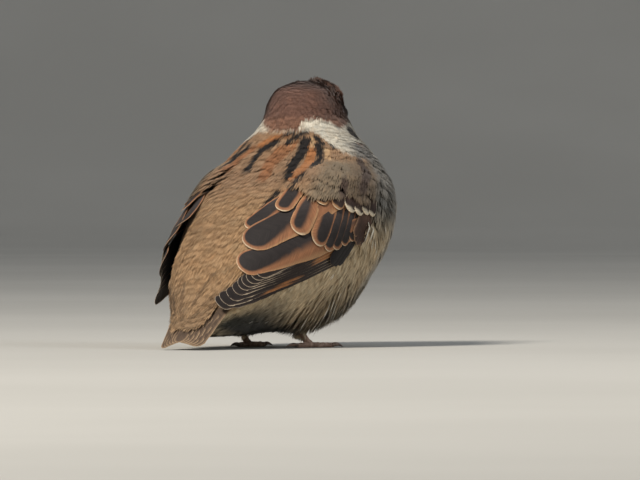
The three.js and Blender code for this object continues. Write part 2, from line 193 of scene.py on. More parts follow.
def lie_of(form, points, normals, i):
    """The way the feathers lie: away from the bill over the head, then down the body."""
    away = unit(points - turned(BILL_ROOT))
    share = smooth(form.s[i], 2.0, 4.4)[..., None]
    way = away * (1 - share) + form.d[i] * share
    return unit(way - normals * np.sum(way * normals, axis=-1, keepdims=True))


# ---- Colours -----------------------------------------------------------------------------------------


def rgb(code):
    """A linear colour from a six-figure code."""
    c = np.array([int(code[k : k + 2], 16) for k in (0, 2, 4)]) / 255.0
    return np.where(c <= 0.04045, c / 12.92, ((c + 0.055) / 1.055) ** 2.4)


# The grey that the top of the crown is mixed towards is a painted cool sheen.
CHESTNUT, CROWN_TOP_PAINTED_SHEEN = rgb("6f5145"), rgb("655a55")
NAPE = rgb("83604e")
WHITE, COLLAR_GREY_AND_PAINTED_SHADE = rgb("d2cbbb"), rgb("7b7771")
BLACK, LORE = rgb("1f1a18"), rgb("2a2321")
MANTLE, SAND, RUMP = rgb("997a5d"), rgb("a38360"), rgb("9a7e5f")
RUFOUS, ORANGE, BUFF, RUMP_STREAK = rgb("926442"), rgb("a87044"), rgb("bf9c74"), rgb("775f47")
SCAPULAR, SCAPULAR_EDGE, SIDE_DARK = rgb("80705b"), rgb("64523f"), rgb("4b3a30")
BREAST, BREAST_SIDE_PAINTED_SHADE, FLANK = rgb("c8bfb1"), rgb("7b766d"), rgb("cdb896")
BELLY, BELLY_PAINTED_SHADOW, VENT = rgb("cfc6b4"), rgb("3f3d36"), rgb("a99b82")
SHAFT_WHITE = rgb("f0eadb")
WING_BLACK = rgb("2b2625")
WING_RUFOUS, WING_BUFF, WING_TIP = rgb("98694a"), rgb("b38a64"), rgb("dcc6a6")
PANEL_RIM, PANEL_FRINGE = rgb("a06b42"), rgb("b58a62")
TAIL_BROWN, TAIL_RIM, TAIL_EDGE = rgb("57473a"), rgb("7b6550"), rgb("b39a7a")

# Painted streaks of the mantle: colour, half width in mm, and the places on the surface that they join.
# The angle here is to the right of the back's middle line.
STREAKS = [
    (RUFOUS, 3.2, [(5.8, 4), (6.6, 2)]),
    (RUFOUS, 2.4, [(6.9, 2), (7.6, 4)]),
    (ORANGE, 1.7, [(5.0, 28), (5.8, 28), (6.7, 29), (7.4, 28), (7.9, 25)]),
    (BUFF, 1.0, [(4.8, 29), (5.3, 29)]),
    (ORANGE, 1.1, [(4.5, 4), (4.9, -12), (5.3, -18)]),
    (RUFOUS, 1.2, [(5.1, 14), (5.7, 10)]),
    (ORANGE, 0.9, [(4.9, -58), (5.6, -53), (6.4, -47)]),
    (RUFOUS, 1.8, [(5.6, -24), (6.4, -28), (7.2, -27)]),
    (BUFF, 1.0, [(5.6, 42), (6.2, 42)]),
    (BLACK, 2.0, [(5.0, 22), (6.0, 20), (6.7, 17), (7.6, 20)]),
    (BLACK, 1.1, [(4.2, 25), (4.7, 12), (5.2, 5)]),
    (BLACK, 1.3, [(5.2, 34), (6.0, 36)]),
    (BLACK, 1.2, [(6.3, 37), (7.1, 34)]),
    (BLACK, 1.0, [(4.7, 47), (5.4, 49)]),
    (BLACK, 0.8, [(7.7, 31), (8.6, 28)]),
    (BLACK, 0.9, [(8.4, 19), (9.3, 16)]),
    (BLACK, 1.5, [(5.1, -4), (5.7, -12), (6.5, -11), (7.2, -8)]),
    (BLACK, 1.0, [(4.5, -50), (5.3, -46), (6.2, -40)]),
    (BLACK, 1.3, [(5.4, -32), (6.2, -36), (7.0, -35)]),
    (BLACK, 0.9, [(4.3, 10), (4.6, 0)]),
    (BLACK, 0.8, [(4.6, 33), (5.2, 39)]),
    (RUMP_STREAK, 0.55, [(12.3, 9), (13.6, 6), (14.6, 5)]),
    (RUMP_STREAK, 0.5, [(12.9, -9), (14.2, -7), (15.2, -5)]),
    (RUMP_STREAK, 0.5, [(13.6, 22), (14.8, 17), (15.8, 14)]),
    (RUMP_STREAK, 0.5, [(13.2, -24), (14.3, -20), (15.4, -16)]),
    (RUMP_STREAK, 0.45, [(14.6, -1), (15.9, 0)]),
    (RUMP_STREAK, 0.6, [(12.6, 31), (13.8, 30), (15.0, 30)]),
    (RUMP_STREAK, 0.6, [(12.6, -33), (13.8, -32), (15.0, -32)]),
    (SIDE_DARK, 1.5, [(6.2, 75), (6.9, 77), (8.2, 74)]),
    (SIDE_DARK, 1.5, [(6.2, -75), (6.9, -77), (8.2, -74)]),
    (SIDE_DARK, 1.2, [(7.9, 60), (8.6, 62)]),
    (SIDE_DARK, 1.2, [(7.9, -60), (8.6, -62)]),
]


# The upper and lower edges of the white collar: station at each angle to the right of the back's middle.
COLLAR_TOP = (
    [-90, -64, -58, -48, -20, 14, 17, 24, 45, 60, 66, 74, 80, 86, 100],
    [5.0, 4.1, 3.5, 3.4, 4.2, 4.2, 3.7, 3.4, 3.3, 3.5, 3.7, 4.2, 4.7, 5.0, 4.9],
)
COLLAR_FOOT = (
    [-100, -84, -64, -50, -41, -20, 14, 17, 30, 38, 41, 50, 58, 69, 81, 92, 104],
    [5.6, 5.6, 5.2, 4.6, 4.2, 4.25, 4.25, 4.1, 4.15, 4.4, 4.9, 5.3, 5.7, 5.9, 6.0, 6.1, 5.7],
)
# Where the buff of the flanks begins: degrees from the middle of the back at each station.
FLANK_EDGE = ([9.0, 10.5, 11.0, 11.6, 12.6, 14.0], [84, 82, 77, 67, 57, 50])
# The line from the bill through the eye that the white cheek begins under: height at each y.
CHEEK_TOP = ([-29, -25, -21, -16, -8], [75.0, 75.4, 75.2, 74.8, 72.5])
# y and z of the middle of the ear spot and of a place on the black line before the eye, and z of the bib.
EAR_SPOT, LORE_PLACE, BIB_HEIGHT = (-14.4, 71.2), (-27.0, 76.3), 71.0


def line_distance(points, line):
    """Distance from each point to the joined line of surface places, in mm."""
    s, right = np.array(line, float).T
    corners = body_point(s, -right)
    best = np.full(len(points), 1e9)
    for a, b in zip(corners, corners[1:]):
        t = np.clip((points - a) @ (b - a) / np.dot(b - a, b - a), 0, 1)[:, None]
        best = np.minimum(best, np.linalg.norm(points - (a + (b - a) * t), axis=1))
    return best


def plumage(i, seed, form=BODY):
    """The colour of the plumage at places of a form, for the skin and for the feathers alike, with painted
    shade on the sides of the breast and collar, a painted shadow under the wings and a painted sheen on the
    crown.
    """
    rng = np.random.default_rng(seed)
    s, a = form.s[i], -form.a[i]
    wide = np.abs(a)
    surface = form.p[i]
    head = turned(surface, -(1 - smooth(s, HEAD_ENDS - 1.5, NECK_ENDS + 1)))
    x, y, z = np.abs(head[:, 0]), head[:, 1], head[:, 2]
    fray = rng.normal(0, 0.22, len(s))
    tint = np.tile(MANTLE, (len(s), 1))

    def paint(colour, amount):
        nonlocal tint
        tint = tint + (colour - tint) * np.clip(amount, 0, 1)[:, None]

    # trunk, from the back round to the belly
    paint(SAND, smooth(s, 7.6, 9.4))
    paint(RUMP, smooth(s, 12.0, 14.5))
    paint(SCAPULAR, smooth(wide, 34, 46) * smooth(s, 5.9, 6.8) * (1 - smooth(s, 9.0, 10.0)))
    paint(SCAPULAR_EDGE, 0.7 * smooth(wide, 58, 70) * smooth(s, 6.0, 6.8) * (1 - smooth(s, 9.0, 10.0)))
    # painted shade: the sides of the breast and neck are greyed darker than the pale breast, for the shade on
    # the bird's sides
    side = smooth(wide + 3 * fray, 82, 92)
    paint(BREAST_SIDE_PAINTED_SHADE, side)
    flank_edge = np.interp(s, *FLANK_EDGE)
    paint(FLANK, smooth(wide, flank_edge, flank_edge + 8) * smooth(s, 8.8, 10.2))
    paint(BREAST, smooth(wide, 112, 130))
    paint(BELLY, smooth(wide, 120, 145) * smooth(s, 9.5, 11))
    # painted shadow: the rear belly and the sides under the folded wings are darkened to a dark grey, for the
    # shadow the wings and body cast there
    painted_shadow_starts = 12.4 + 1.4 * smooth(wide, 80, 105) - 0.5 * smooth(wide, 120, 150)
    under = smooth(s, painted_shadow_starts, 14.8)
    paint(BELLY_PAINTED_SHADOW, smooth(wide + 4 * fray, 58, 78) * under * (1 - 0.6 * smooth(s, 15.6, 16.4)))
    paint(VENT, smooth(wide, 110, 140) * smooth(s, 15.2, 16.2))
    for colour, half_width, line in STREAKS:
        gap = line_distance(surface, line) + fray
        paint(colour, 1 - smooth(gap, half_width - 0.35, half_width + 0.35))
    # head: chestnut cap, greyed on top by a painted sheen, and nape, white collar and cheek, black ear spot,
    # lores and bib
    on_head = s < 4.9
    collar_top, collar_foot = np.interp(a, *COLLAR_TOP), np.interp(a, *COLLAR_FOOT)
    ring = smooth(s + 0.25 * fray, collar_top - 0.1, collar_top + 0.1)
    cap = (1 - ring) * (wide < 100) + (wide >= 100) * (s < 4.9)
    # painted sheen: the top of the crown is mixed most of the way towards a cool grey
    chestnut = CHESTNUT + (CROWN_TOP_PAINTED_SHEEN - CHESTNUT) * (1 - smooth(s, -0.5, 1.6))[:, None] * 0.7
    chestnut = chestnut + (NAPE - chestnut) * smooth(s, 2.8, 3.8)[:, None]
    paint(chestnut, cap)
    collar = ring * (1 - smooth(s + 0.25 * fray, collar_foot - 0.12, collar_foot + 0.12))
    # The collar's sides are greyish in life, and are darkened further here as painted shade where the neck
    # turns away from the light.
    collar_grey_and_shade = smooth(wide, 56, 82) * (1 - 0.85 * smooth(wide, 96, 110))
    paint(WHITE + (COLLAR_GREY_AND_PAINTED_SHADE - WHITE) * collar_grey_and_shade[:, None], collar * (wide < 116))
    cheek_top = np.interp(y, *CHEEK_TOP)
    cheek = (1 - smooth(z + fray, cheek_top - 0.3, cheek_top + 0.3)) * on_head * (y < -6)
    paint(WHITE, cheek)
    ahead = y - EAR_SPOT[0]
    ear = np.hypot(ahead * 0.85, z - EAR_SPOT[1] - 0.15 * ahead) + 0.6 * fray
    paint(BLACK, (1 - smooth(ear, 1.9, 2.7)) * on_head * (x > 8))
    lore = np.abs(z - LORE_PLACE[1] - 0.28 * (y - LORE_PLACE[0])) + 0.5 * fray
    paint(LORE, (1 - smooth(lore, 0.9, 1.6)) * (y < -20.5) * (y > -29.5) * (x > 2.5))
    bib = np.hypot(x / 3.9, (z - BIB_HEIGHT) / 5.4) + 0.12 * fray
    paint(LORE, (1 - smooth(bib, 0.85, 1.05)) * (y < -20) * (z < 76))
    return tint


# ---- Materials ---------------------------------------------------------------------------------------


class Finish:
    """A material and short ways of adding nodes to it."""

    def __init__(self, name, roughness=0.6, **sockets):
        self.material = bpy.data.materials.new(name)
        self.material.use_nodes = True
        self.tree = self.material.node_tree
        self.shader = self.tree.nodes["Principled BSDF"]
        self.shader.inputs["Roughness"].default_value = roughness
        for key, value in sockets.items():
            self.shader.inputs[key.replace("_", " ")].default_value = value

    def node(self, kind, inputs=None, **settings):
        made = self.tree.nodes.new(kind)
        for key, value in settings.items():
            setattr(made, key, value)
        for key, value in (inputs or {}).items():
            self.put(value, made.inputs[key])
        return made

    def put(self, value, socket):
        if isinstance(value, bpy.types.NodeSocket):
            self.tree.links.new(value, socket)
        elif isinstance(value, np.ndarray):
            socket.default_value = (*value, 1.0)
        else:
            socket.default_value = value

    def object_place(self):
        return self.node("ShaderNodeTexCoord").outputs["Object"]

    def map_place(self, name):
        return self.node("ShaderNodeUVMap", uv_map=name).outputs["UV"]

    def stretched(self, vector, scale):
        return self.node("ShaderNodeMapping", {"Vector": vector, "Scale": scale}).outputs["Vector"]

    def attribute(self, name, output="Color"):
        return self.node("ShaderNodeAttribute", attribute_name=name).outputs[output]

    def noise(self, vector, scale, detail=3.0, roughness=0.5):
        inputs = {"Vector": vector, "Scale": scale, "Detail": detail, "Roughness": roughness}
        return self.node("ShaderNodeTexNoise", inputs).outputs["Fac"]

    def cells(self, vector, scale):
        return self.node("ShaderNodeTexVoronoi", {"Vector": vector, "Scale": scale}).outputs["Distance"]

    def ramp(self, value, low, high, to_low=0.0, to_high=1.0, kind="SMOOTHSTEP"):
        inputs = {"Value": value, "From Min": low, "From Max": high, "To Min": to_low, "To Max": to_high}
        return self.node("ShaderNodeMapRange", inputs, interpolation_type=kind).outputs["Result"]

    def maths(self, operation, a, b):
        return self.node("ShaderNodeMath", {0: a, 1: b}, operation=operation).outputs[0]

    def mix(self, share, a, b, blend="MIX"):
        made = self.node("ShaderNodeMix", data_type="RGBA", blend_type=blend)
        self.put(share, made.inputs[0])
        self.put(a, made.inputs[6])
        self.put(b, made.inputs[7])
        return made.outputs[2]

    def varied(self, colour, pattern, low, high, dark, light):
        """The colour times a grey that goes from dark to light as the pattern goes from low to high."""
        shade = self.mix(self.ramp(pattern, low, high), grey(dark), grey(light))
        return self.mix(1.0, colour, shade, "MULTIPLY")

    def colour(self, value):
        self.put(value, self.shader.inputs["Base Color"])

    def rough(self, value):
        self.put(value, self.shader.inputs["Roughness"])

    def bump(self, height, strength, distance):
        inputs = {"Height": height, "Strength": strength, "Distance": distance}
        self.put(self.node("ShaderNodeBump", inputs).outputs["Normal"], self.shader.inputs["Normal"])


def grey(value):
    return np.array([value] * 3, float)


def soft_feather_finish(name):
    f = Finish(name, 0.82, Specular_IOR_Level=0.25, Sheen_Weight=0.12, Sheen_Roughness=0.5)
    barbs = f.noise(f.stretched(f.map_place("Vane"), (26.0, 1.6, 1.0)), 1.0, 2.0)
    patch = f.noise(f.object_place(), 260.0, 3.0)
    tint = f.varied(f.attribute("Tint"), barbs, 0.3, 0.7, 0.8, 1.12)
    f.colour(f.varied(tint, patch, 0.3, 0.7, 0.88, 1.08))
    f.bump(barbs, 0.35, 0.0001)
    return f.material


def vane_finish(name, roughness=0.66):
    f = Finish(name, roughness, Specular_IOR_Level=0.25, Sheen_Weight=0.08, Sheen_Roughness=0.4)
    place = f.map_place("Vane")
    barbs = f.noise(f.stretched(place, (2.0, 34.0, 1.0)), 1.0, 2.5)
    broad = f.noise(f.stretched(place, (3.0, 5.0, 1.0)), 1.0, 2.0)
    field = f.maths("ADD", f.attribute("Field", "Fac"), f.ramp(barbs, 0.2, 0.8, -0.12, 0.12, "LINEAR"))
    field = f.maths("ADD", field, f.ramp(broad, 0.2, 0.8, -0.12, 0.12, "LINEAR"))
    colour = f.mix(f.ramp(field, 0.0, 0.5), f.attribute("Fringe"), f.attribute("Rim"))
    colour = f.mix(f.ramp(field, 0.65, 1.4), colour, f.attribute("Centre"))
    colour = f.varied(colour, barbs, 0.3, 0.7, 0.72, 1.14)
    f.colour(f.varied(colour, broad, 0.25, 0.75, 0.84, 1.1))
    f.rough(f.ramp(barbs, 0.2, 0.8, roughness - 0.06, roughness + 0.1))
    f.bump(barbs, 0.55, 0.00012)
    return f.material


def skin_finish():
    f = Finish("skin_under_feathers", 0.85, Specular_IOR_Level=0.2)
    down = f.noise(f.object_place(), 900.0, 4.0)
    f.colour(f.varied(f.attribute("Tint"), down, 0.3, 0.7, 0.72, 1.0))
    f.bump(down, 0.6, 0.0003)
    return f.material


def leg_finish():
    f = Finish("leg_scales", 0.5, Specular_IOR_Level=0.4)
    place = f.object_place()
    mottle = f.noise(place, 700.0, 4.0)
    fine = f.cells(place, 1500.0)
    colour = f.mix(f.ramp(mottle, 0.35, 0.68), rgb("9c7d6b"), rgb("c8a995"))
    colour = f.mix(f.ramp(fine, 0.0, 0.5), f.mix(1.0, colour, grey(0.72), "MULTIPLY"), colour)
    f.colour(colour)
    f.bump(fine, 0.4, 0.0001)
    return f.material


def horn_finish(name, dark, light, scale):
    f = Finish(name, 0.32, Specular_IOR_Level=0.5, Coat_Weight=0.15, Coat_Roughness=0.25)
    place = f.object_place()
    grain = f.noise(f.stretched(place, (1.0, 0.25, 1.0)), scale, 4.0)
    f.colour(f.mix(f.ramp(grain, 0.3, 0.72), dark, light))
    f.rough(f.ramp(grain, 0.2, 0.8, 0.26, 0.46))
    f.bump(grain, 0.25, 0.0001)
    return f.material


def eye_finish():
    wet = {"Specular_IOR_Level": 0.45, "Coat_Weight": 0.2, "Coat_Roughness": 0.02, "IOR": 1.38}
    f = Finish("eye_dark_brown", 0.05, **wet)
    reach = f.attribute("Pupil", "Fac")
    flecks = f.noise(f.object_place(), 2600.0, 3.0)
    iris = f.mix(f.ramp(flecks, 0.3, 0.7), rgb("1f120d"), rgb("382116"))
    colour = f.mix(f.ramp(reach, 0.48, 0.53), rgb("050404"), iris)
    f.colour(f.mix(f.ramp(reach, 0.8, 0.9), colour, rgb("1c1411")))
    return f.material


def lid_finish():
    f = Finish("eyelid", 0.55, Specular_IOR_Level=0.35)
    grain = f.cells(f.object_place(), 2600.0)
    f.colour(f.mix(f.ramp(grain, 0.1, 0.6), rgb("131010"), rgb("342c29")))
    f.bump(grain, 0.5, 0.0001)
    return f.material


def stage_finish():
    f = Finish("studio_floor", 0.9, Specular_IOR_Level=0.15)
    grain = f.noise(f.object_place(), 3.0, 3.0)
    f.colour(f.mix(f.ramp(grain, 0.3, 0.7), rgb("c3c1ba"), rgb("cac8c1")))
    return f.material


SOFT = soft_feather_finish("soft_feathers")
VANE = vane_finish("flight_feather_vanes")
SKIN, LEG, LID = skin_finish(), leg_finish(), lid_finish()
BILL_HORN = horn_finish("bill_horn", rgb("1d1b1c"), rgb("3b3634"), 900.0)
CLAW_HORN = horn_finish("claw_horn", rgb("4d3a30"), rgb("9c7f6b"), 1400.0)
EYE = eye_finish()

# ---- Mesh helpers ------------------------------------------------------------------------------------


def to_scene(name, data, *materials):
    made = bpy.data.objects.new(name, data)
    bpy.context.scene.collection.objects.link(made)
    for material in materials:
        data.materials.append(material)
    return made


def mesh_from(bm, name):
    mesh = bpy.data.meshes.new(name)
    bm.to_mesh(mesh)
    bm.free()
    return mesh


def smooth_faces(mesh, crease=None):
    """Smooth shading, but for edges that turn by more than the crease, in degrees."""
    mesh.polygons.foreach_set("use_smooth", [True] * len(mesh.polygons))
    if crease:
        mesh.set_sharp_from_angle(angle=math.radians(crease))


def in_metres(points):
    return (points + TO_ROW) * MM


def mesh_of(name, points, quads, triangles):
    """A mesh from arrays in mm: many small alike shapes are joined this way."""
    mesh = bpy.data.meshes.new(name)
    mesh.vertices.add(len(points))
    mesh.vertices.foreach_set("co", in_metres(points).astype(np.float32).ravel())
    loops = np.concatenate([quads.ravel(), triangles.ravel()]).astype(np.int32)
    starts = np.concatenate([np.arange(len(quads)) * 4, len(quads) * 4 + np.arange(len(triangles)) * 3])
    mesh.loops.add(len(loops))
    mesh.loops.foreach_set("vertex_index", loops)
    mesh.polygons.add(len(starts))
    mesh.polygons.foreach_set("loop_start", starts.astype(np.int32))
    mesh.update(calc_edges=True)
    mesh.validate()
    smooth_faces(mesh, 50)
    return mesh


def add_map(mesh, name, places):
    layer = mesh.uv_layers.new(name=name)
    corners = np.zeros(len(mesh.loops), np.int32)
    mesh.loops.foreach_get("vertex_index", corners)
    layer.data.foreach_set("uv", places[corners].astype(np.float32).ravel())


def add_corner_map(mesh, name, corners):
    layer = mesh.uv_layers.new(name=name)
    layer.data.foreach_set("uv", corners.astype(np.float32).ravel())


def add_colour(mesh, name, colours):
    layer = mesh.attributes.new(name, "FLOAT_COLOR", "POINT")
    full = np.ones((len(colours), 4), np.float32)
    full[:, :3] = colours
    layer.data.foreach_set("color", full.ravel())


def add_number(mesh, name, values):
    mesh.attributes.new(name, "FLOAT", "POINT").data.foreach_set("value", values.astype(np.float32))


def mesh_points(mesh):
    co = np.zeros(len(mesh.vertices) * 3, np.float32)
    mesh.vertices.foreach_get("co", co)
    return co.reshape(-1, 3).astype(float) / MM - TO_ROW


def put_points(mesh, points):
    mesh.vertices.foreach_set("co", in_metres(points).astype(np.float32).ravel())
    mesh.update()


def row(point):
    return Vector(in_metres(np.asarray(point, float)))


def facing(point, way):
    """The place of a new piece at a point, turned so that its own Z points the given way."""
    return Matrix.Translation(row(point)) @ Vector(way).to_track_quat("Z", "Y").to_matrix().to_4x4()


def remeshed(mesh, voxel, rounds, name, grow=0.0):
    """One closed surface round all the shells of a mesh, smoothed. Sizes in mm."""
    bm = bmesh.new()
    bm.from_mesh(mesh)
    bmesh.ops.remove_doubles(bm, verts=bm.verts, dist=1e-6)
    bm.normal_update()
    if grow:
        for v in bm.verts:
            v.co += v.normal * grow * MM
    bm.to_mesh(mesh)
    bm.free()
    holder = to_scene(name, mesh)
    remesh = holder.modifiers.new("one_surface", "REMESH")
    remesh.mode, remesh.voxel_size = "VOXEL", voxel * MM
    soften = holder.modifiers.new("soften", "SMOOTH")
    soften.factor, soften.iterations = 0.5, rounds
    shape = baked(holder, name)
    bpy.data.objects.remove(holder)
    return shape


def baked(holder, name):
    graph = bpy.context.evaluated_depsgraph_get()
    shape = bpy.data.meshes.new_from_object(holder.evaluated_get(graph))
    shape.name = name
    return shape


def joined_copy(names):
    bm = bmesh.new()
    for name in names:
        bm.from_mesh(nodes[name].data)
    return mesh_from(bm, "copy")


def add_tube(bm, points, radii, sides=12):
    """A closed tube through the points, in mm, made of bridged rings."""
    points = np.asarray(points, float)
    ways = unit(np.gradient(points, axis=0))
    rings = []
    for k, (p, way, radius) in enumerate(zip(points, ways, radii)):
        ends = k in (0, len(points) - 1)
        ring = bmesh.ops.create_circle(bm, cap_ends=ends, segments=sides, radius=radius * MM,
                                       matrix=facing(p, way))
        edges = set()
        for v in ring["verts"]:
            edges.update(v.link_edges)
        rings.append(list(edges))
    for a, b in zip(rings, rings[1:]):
        bmesh.ops.bridge_loops(bm, edges=a + b)
    bmesh.ops.recalc_face_normals(bm, faces=bm.faces)


def bezier(points, count):
    """Points along the curve that three or four given points pull."""
    points = [np.asarray(p, float) for p in points]
    t = np.linspace(0, 1, count)[:, None]
    while len(points) > 1:
        points = [a + (b - a) * t for a, b in zip(points, points[1:])]
    return points[0]


def boolean(base, tool, operation, name):
    holder, cutter = to_scene(name, base), to_scene(name + "_tool", tool)
    cut = holder.modifiers.new("cut", "BOOLEAN")
    cut.operation, cut.object, cut.solver = operation, cutter, "MANIFOLD"
    shape = baked(holder, name)
    bpy.data.objects.remove(holder)
    bpy.data.objects.remove(cutter)
    return shape


# ---- Skin, with the legs and lids --------------------------------------------------------------------

THIGH_TOP, THIGH_FOOT = np.array([10.4, 3.6, 13.4]), np.array([11.8, 8.0, 5.6])
ANKLE = np.array([12.5, 4.1, 1.2])
SHANK_RADIUS, FOOT_PAD_RADIUS, LEG_POINTS, LEG_VOXEL, SOLE_HEIGHT = 1.08, 1.5, 26, 0.2, 0.02
TOE_RADIUS, TOES_TURNED_OUT, SCUTE_LENGTH = 0.95, 10.0, 0.42
CLAW_RADIUS, CLAW_TIP_RADIUS, CLAW_TIP_HEIGHT, CLAW_POINTS = 0.62, 0.1, 0.26, 14
LID_PLANE, LID_RADIUS, LID_THICKNESS = 1.95, 2.3, 0.54
# Each toe: bearing in degrees from straight ahead, its length and its claw's.
TOES = {"inner": (-24, 7.4, 3.6), "middle": (4, 10.6, 4.2), "outer": (30, 8.0, 3.6), "hind": (176, 6.0, 5.4)}


def mirrored(point, side):
    return np.asarray(point, float) * np.array([side, 1, 1])


def toe_place(side, bearing):
    """A way of giving places along a toe: distance from the ankle, and height."""
    turn = math.radians(bearing + TOES_TURNED_OUT) * side
    ahead = np.array([math.sin(turn), -math.cos(turn), 0.0])
    ankle = mirrored(ANKLE, side)

    def at(distance, height):
        p = ankle + ahead * distance
        return np.array([p[0], p[1], height])

    return at


def leg_mesh(side):
    bm = bmesh.new()
    knee, ankle = mirrored(THIGH_FOOT, side), mirrored(ANKLE, side)
    top = knee + (knee - ankle) * 0.5
    line = bezier([top, knee * 0.5 + ankle * 0.5, ankle], LEG_POINTS)
    plates = np.abs(np.sin(np.arange(LEG_POINTS) * 1.9)) * 0.07
    slim = 0.12 * np.sin(np.linspace(0, math.pi, LEG_POINTS))
    add_tube(bm, line, (SHANK_RADIUS - slim + plates) * 1.12, 14)
    for bearing, length, _ in TOES.values():
        at = toe_place(side, bearing)
        count = int(length / SCUTE_LENGTH)
        t = np.linspace(0, 1, count)
        joints = 0.93 + 0.12 * np.cos(t * math.pi * (5 if length > 9 else 3)) ** 2 - 0.2 * t**2
        scutes = 0.05 * (np.arange(count) % 2)
        radii = TOE_RADIUS * (joints + scutes)
        points = [at(length * k - 0.2 * (1 - k), max(TOE_RADIUS * 0.8, r * 0.82)) for k, r in zip(t, radii)]
        add_tube(bm, points, radii)
    pad = Matrix.Translation(row(ankle + np.array([0, 0, 0.05])))
    bmesh.ops.create_icosphere(bm, subdivisions=3, radius=FOOT_PAD_RADIUS * MM, matrix=pad)
    leg = remeshed(mesh_from(bm, "leg"), LEG_VOXEL, 2, "leg")
    points = mesh_points(leg)
    points[:, 2] = np.maximum(points[:, 2], SOLE_HEIGHT)
    put_points(leg, points)
    return leg


def eye_line(side, distance=0.0):
    """The way an eye looks, and the place at a distance along it from the middle of the eyeball."""
    centre = turned(mirrored(EYE_CENTRE, side))
    out = unit(turned(mirrored(EYE_OUT, side)) - turned(np.zeros(3)))
    return out, centre + out * distance


def eyelid_ring(side):
    """The rim of the lids round the opening of an eye."""
    out, middle = eye_line(side, LID_PLANE)
    bm = bmesh.new()
    start = Matrix.Translation((LID_RADIUS * MM, 0, 0)) @ Matrix.Rotation(math.pi / 2, 4, "X")
    ring = bmesh.ops.create_circle(bm, segments=10, radius=LID_THICKNESS / 2 * MM, matrix=start)
    edges = list({e for v in ring["verts"] for e in v.link_edges})
    bmesh.ops.spin(bm, geom=ring["verts"] + edges, axis=(0, 0, 1), cent=(0, 0, 0), steps=40,
                   angle=math.tau, use_merge=True)
    bmesh.ops.transform(bm, matrix=facing(middle, out), verts=bm.verts)
    bmesh.ops.remove_doubles(bm, verts=bm.verts, dist=1e-6)
    bmesh.ops.recalc_face_normals(bm, faces=bm.faces)
    return mesh_from(bm, "lids")


def ball_mesh(centre, radius):
    bm = bmesh.new()
    bmesh.ops.create_icosphere(bm, subdivisions=4, radius=radius * MM, matrix=Matrix.Translation(row(centre)))
    return mesh_from(bm, "ball")


def coat_depth(i):
    """How far the skin lies inside the outer surface, in mm."""
    s = BODY.s[i]
    depth = 0.75 + 0.5 * smooth(s, 2.8, 4.2) + 0.9 * smooth(s, 4.5, 6.5)
    eye = np.minimum(*(np.linalg.norm(BODY.p[i] - turned(mirrored(EYE_CENTRE, k)), axis=1) for k in (-1, 1)))
    return depth + 0.35 * (1 - smooth(eye, 3.2, 5.5))


SKIN_GROWN = 0.5  # mm: closes the gaps between the solids, and is taken off again with the coat's depth
SKIN_VOXEL, SKIN_ROUNDS, THIGH_COAT_DEPTH = 0.8, 6, 1.0
SKIN_NODES = ["head", "neck", "trunk", "tail_coverts", "thigh_left", "thigh_right"]
SOCKET_PLAY, LID_OPENING_RADIUS, LID_OPENING_OUT = 0.05, 2.6, 3.3


def skin_under_coat():
    """The body and thighs as one surface, pulled in by the depth of the coat over it."""
    mesh = remeshed(joined_copy(SKIN_NODES), SKIN_VOXEL, SKIN_ROUNDS, "skin_form", SKIN_GROWN)
    points = mesh_points(mesh)
    normals = np.zeros(len(points) * 3, np.float32)
    mesh.vertices.foreach_get("normal", normals)
    nearest = BODY.near(points)
    thigh = smooth(np.linalg.norm(points[:, :2] - BODY.p[nearest][:, :2], axis=1), 1.5, 3.0)
    depth = (coat_depth(nearest) * (1 - thigh) + THIGH_COAT_DEPTH * thigh + SKIN_GROWN)[:, None]
    put_points(mesh, points - normals.reshape(-1, 3) * depth)
    return mesh


def of_skin(mesh, slot):
    """Gives a piece of the skin the skin's materials, all its faces in one of them."""
    mesh.materials.clear()
    for material in (SKIN, LEG, LID):
        mesh.materials.append(material)
    mesh.polygons.foreach_set("material_index", [slot] * len(mesh.polygons))
    return mesh


skin_mesh = of_skin(skin_under_coat(), 0)
for side in (-1, 1):
    socket = ball_mesh(turned(mirrored(EYE_CENTRE, side)), EYE_RADIUS + SOCKET_PLAY)
    opening = ball_mesh(eye_line(side, LID_OPENING_OUT)[1], LID_OPENING_RADIUS)
    skin_mesh = boolean(skin_mesh, of_skin(leg_mesh(side), 1), "UNION", "skin_form")
    skin_mesh = boolean(skin_mesh, of_skin(socket, 0), "DIFFERENCE", "skin_form")
    skin_mesh = boolean(skin_mesh, of_skin(opening, 0), "DIFFERENCE", "skin_form")
    skin_mesh = boolean(skin_mesh, of_skin(eyelid_ring(side), 2), "UNION", "skin_form")
smooth_faces(skin_mesh)
add_colour(skin_mesh, "Tint", plumage(BODY.near(mesh_points(skin_mesh)), 3))
skin = to_scene("skin", skin_mesh)
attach(skin, "root")
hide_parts(*SKIN_NODES, "shank_left", "shank_right", "foot_left", "foot_right")

# ---- Eyes, bill and claws ----------------------------------------------------------------------------


PUPIL_UNIT = 60.0  # degrees from the middle of the pupil that count as 1 in the eye's material


def make_eye(name, side):
    out, centre = eye_line(side)
    bm = bmesh.new()
    bmesh.ops.create_uvsphere(bm, u_segments=48, v_segments=32, radius=EYE_RADIUS * MM,
                              matrix=facing(centre, out))
    mesh = mesh_from(bm, name)
    smooth_faces(mesh)
    away = unit(mesh_points(mesh) - centre)
    add_number(mesh, "Pupil", np.degrees(np.arccos(np.clip(away @ out, -1, 1))) / PUPIL_UNIT)
    eye = to_scene(name, mesh, EYE)
    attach(eye, "root")
    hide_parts(f"eye_{'left' if side > 0 else 'right'}")


# y and z of the mouth line at the bill's base and at its tip, before the head is turned.
BILL_BASE, BILL_TIP = (-24.2, 74.6), (-37.8, 73.2)
BILL_VOXEL, BILL_GROWN = 0.13, 0.06
NOSTRIL, NOSTRIL_FOOT, NOSTRIL_DEPTH = (2.3, -28.8, 77.0), np.array([0, -28.8, 76.2]), 0.5


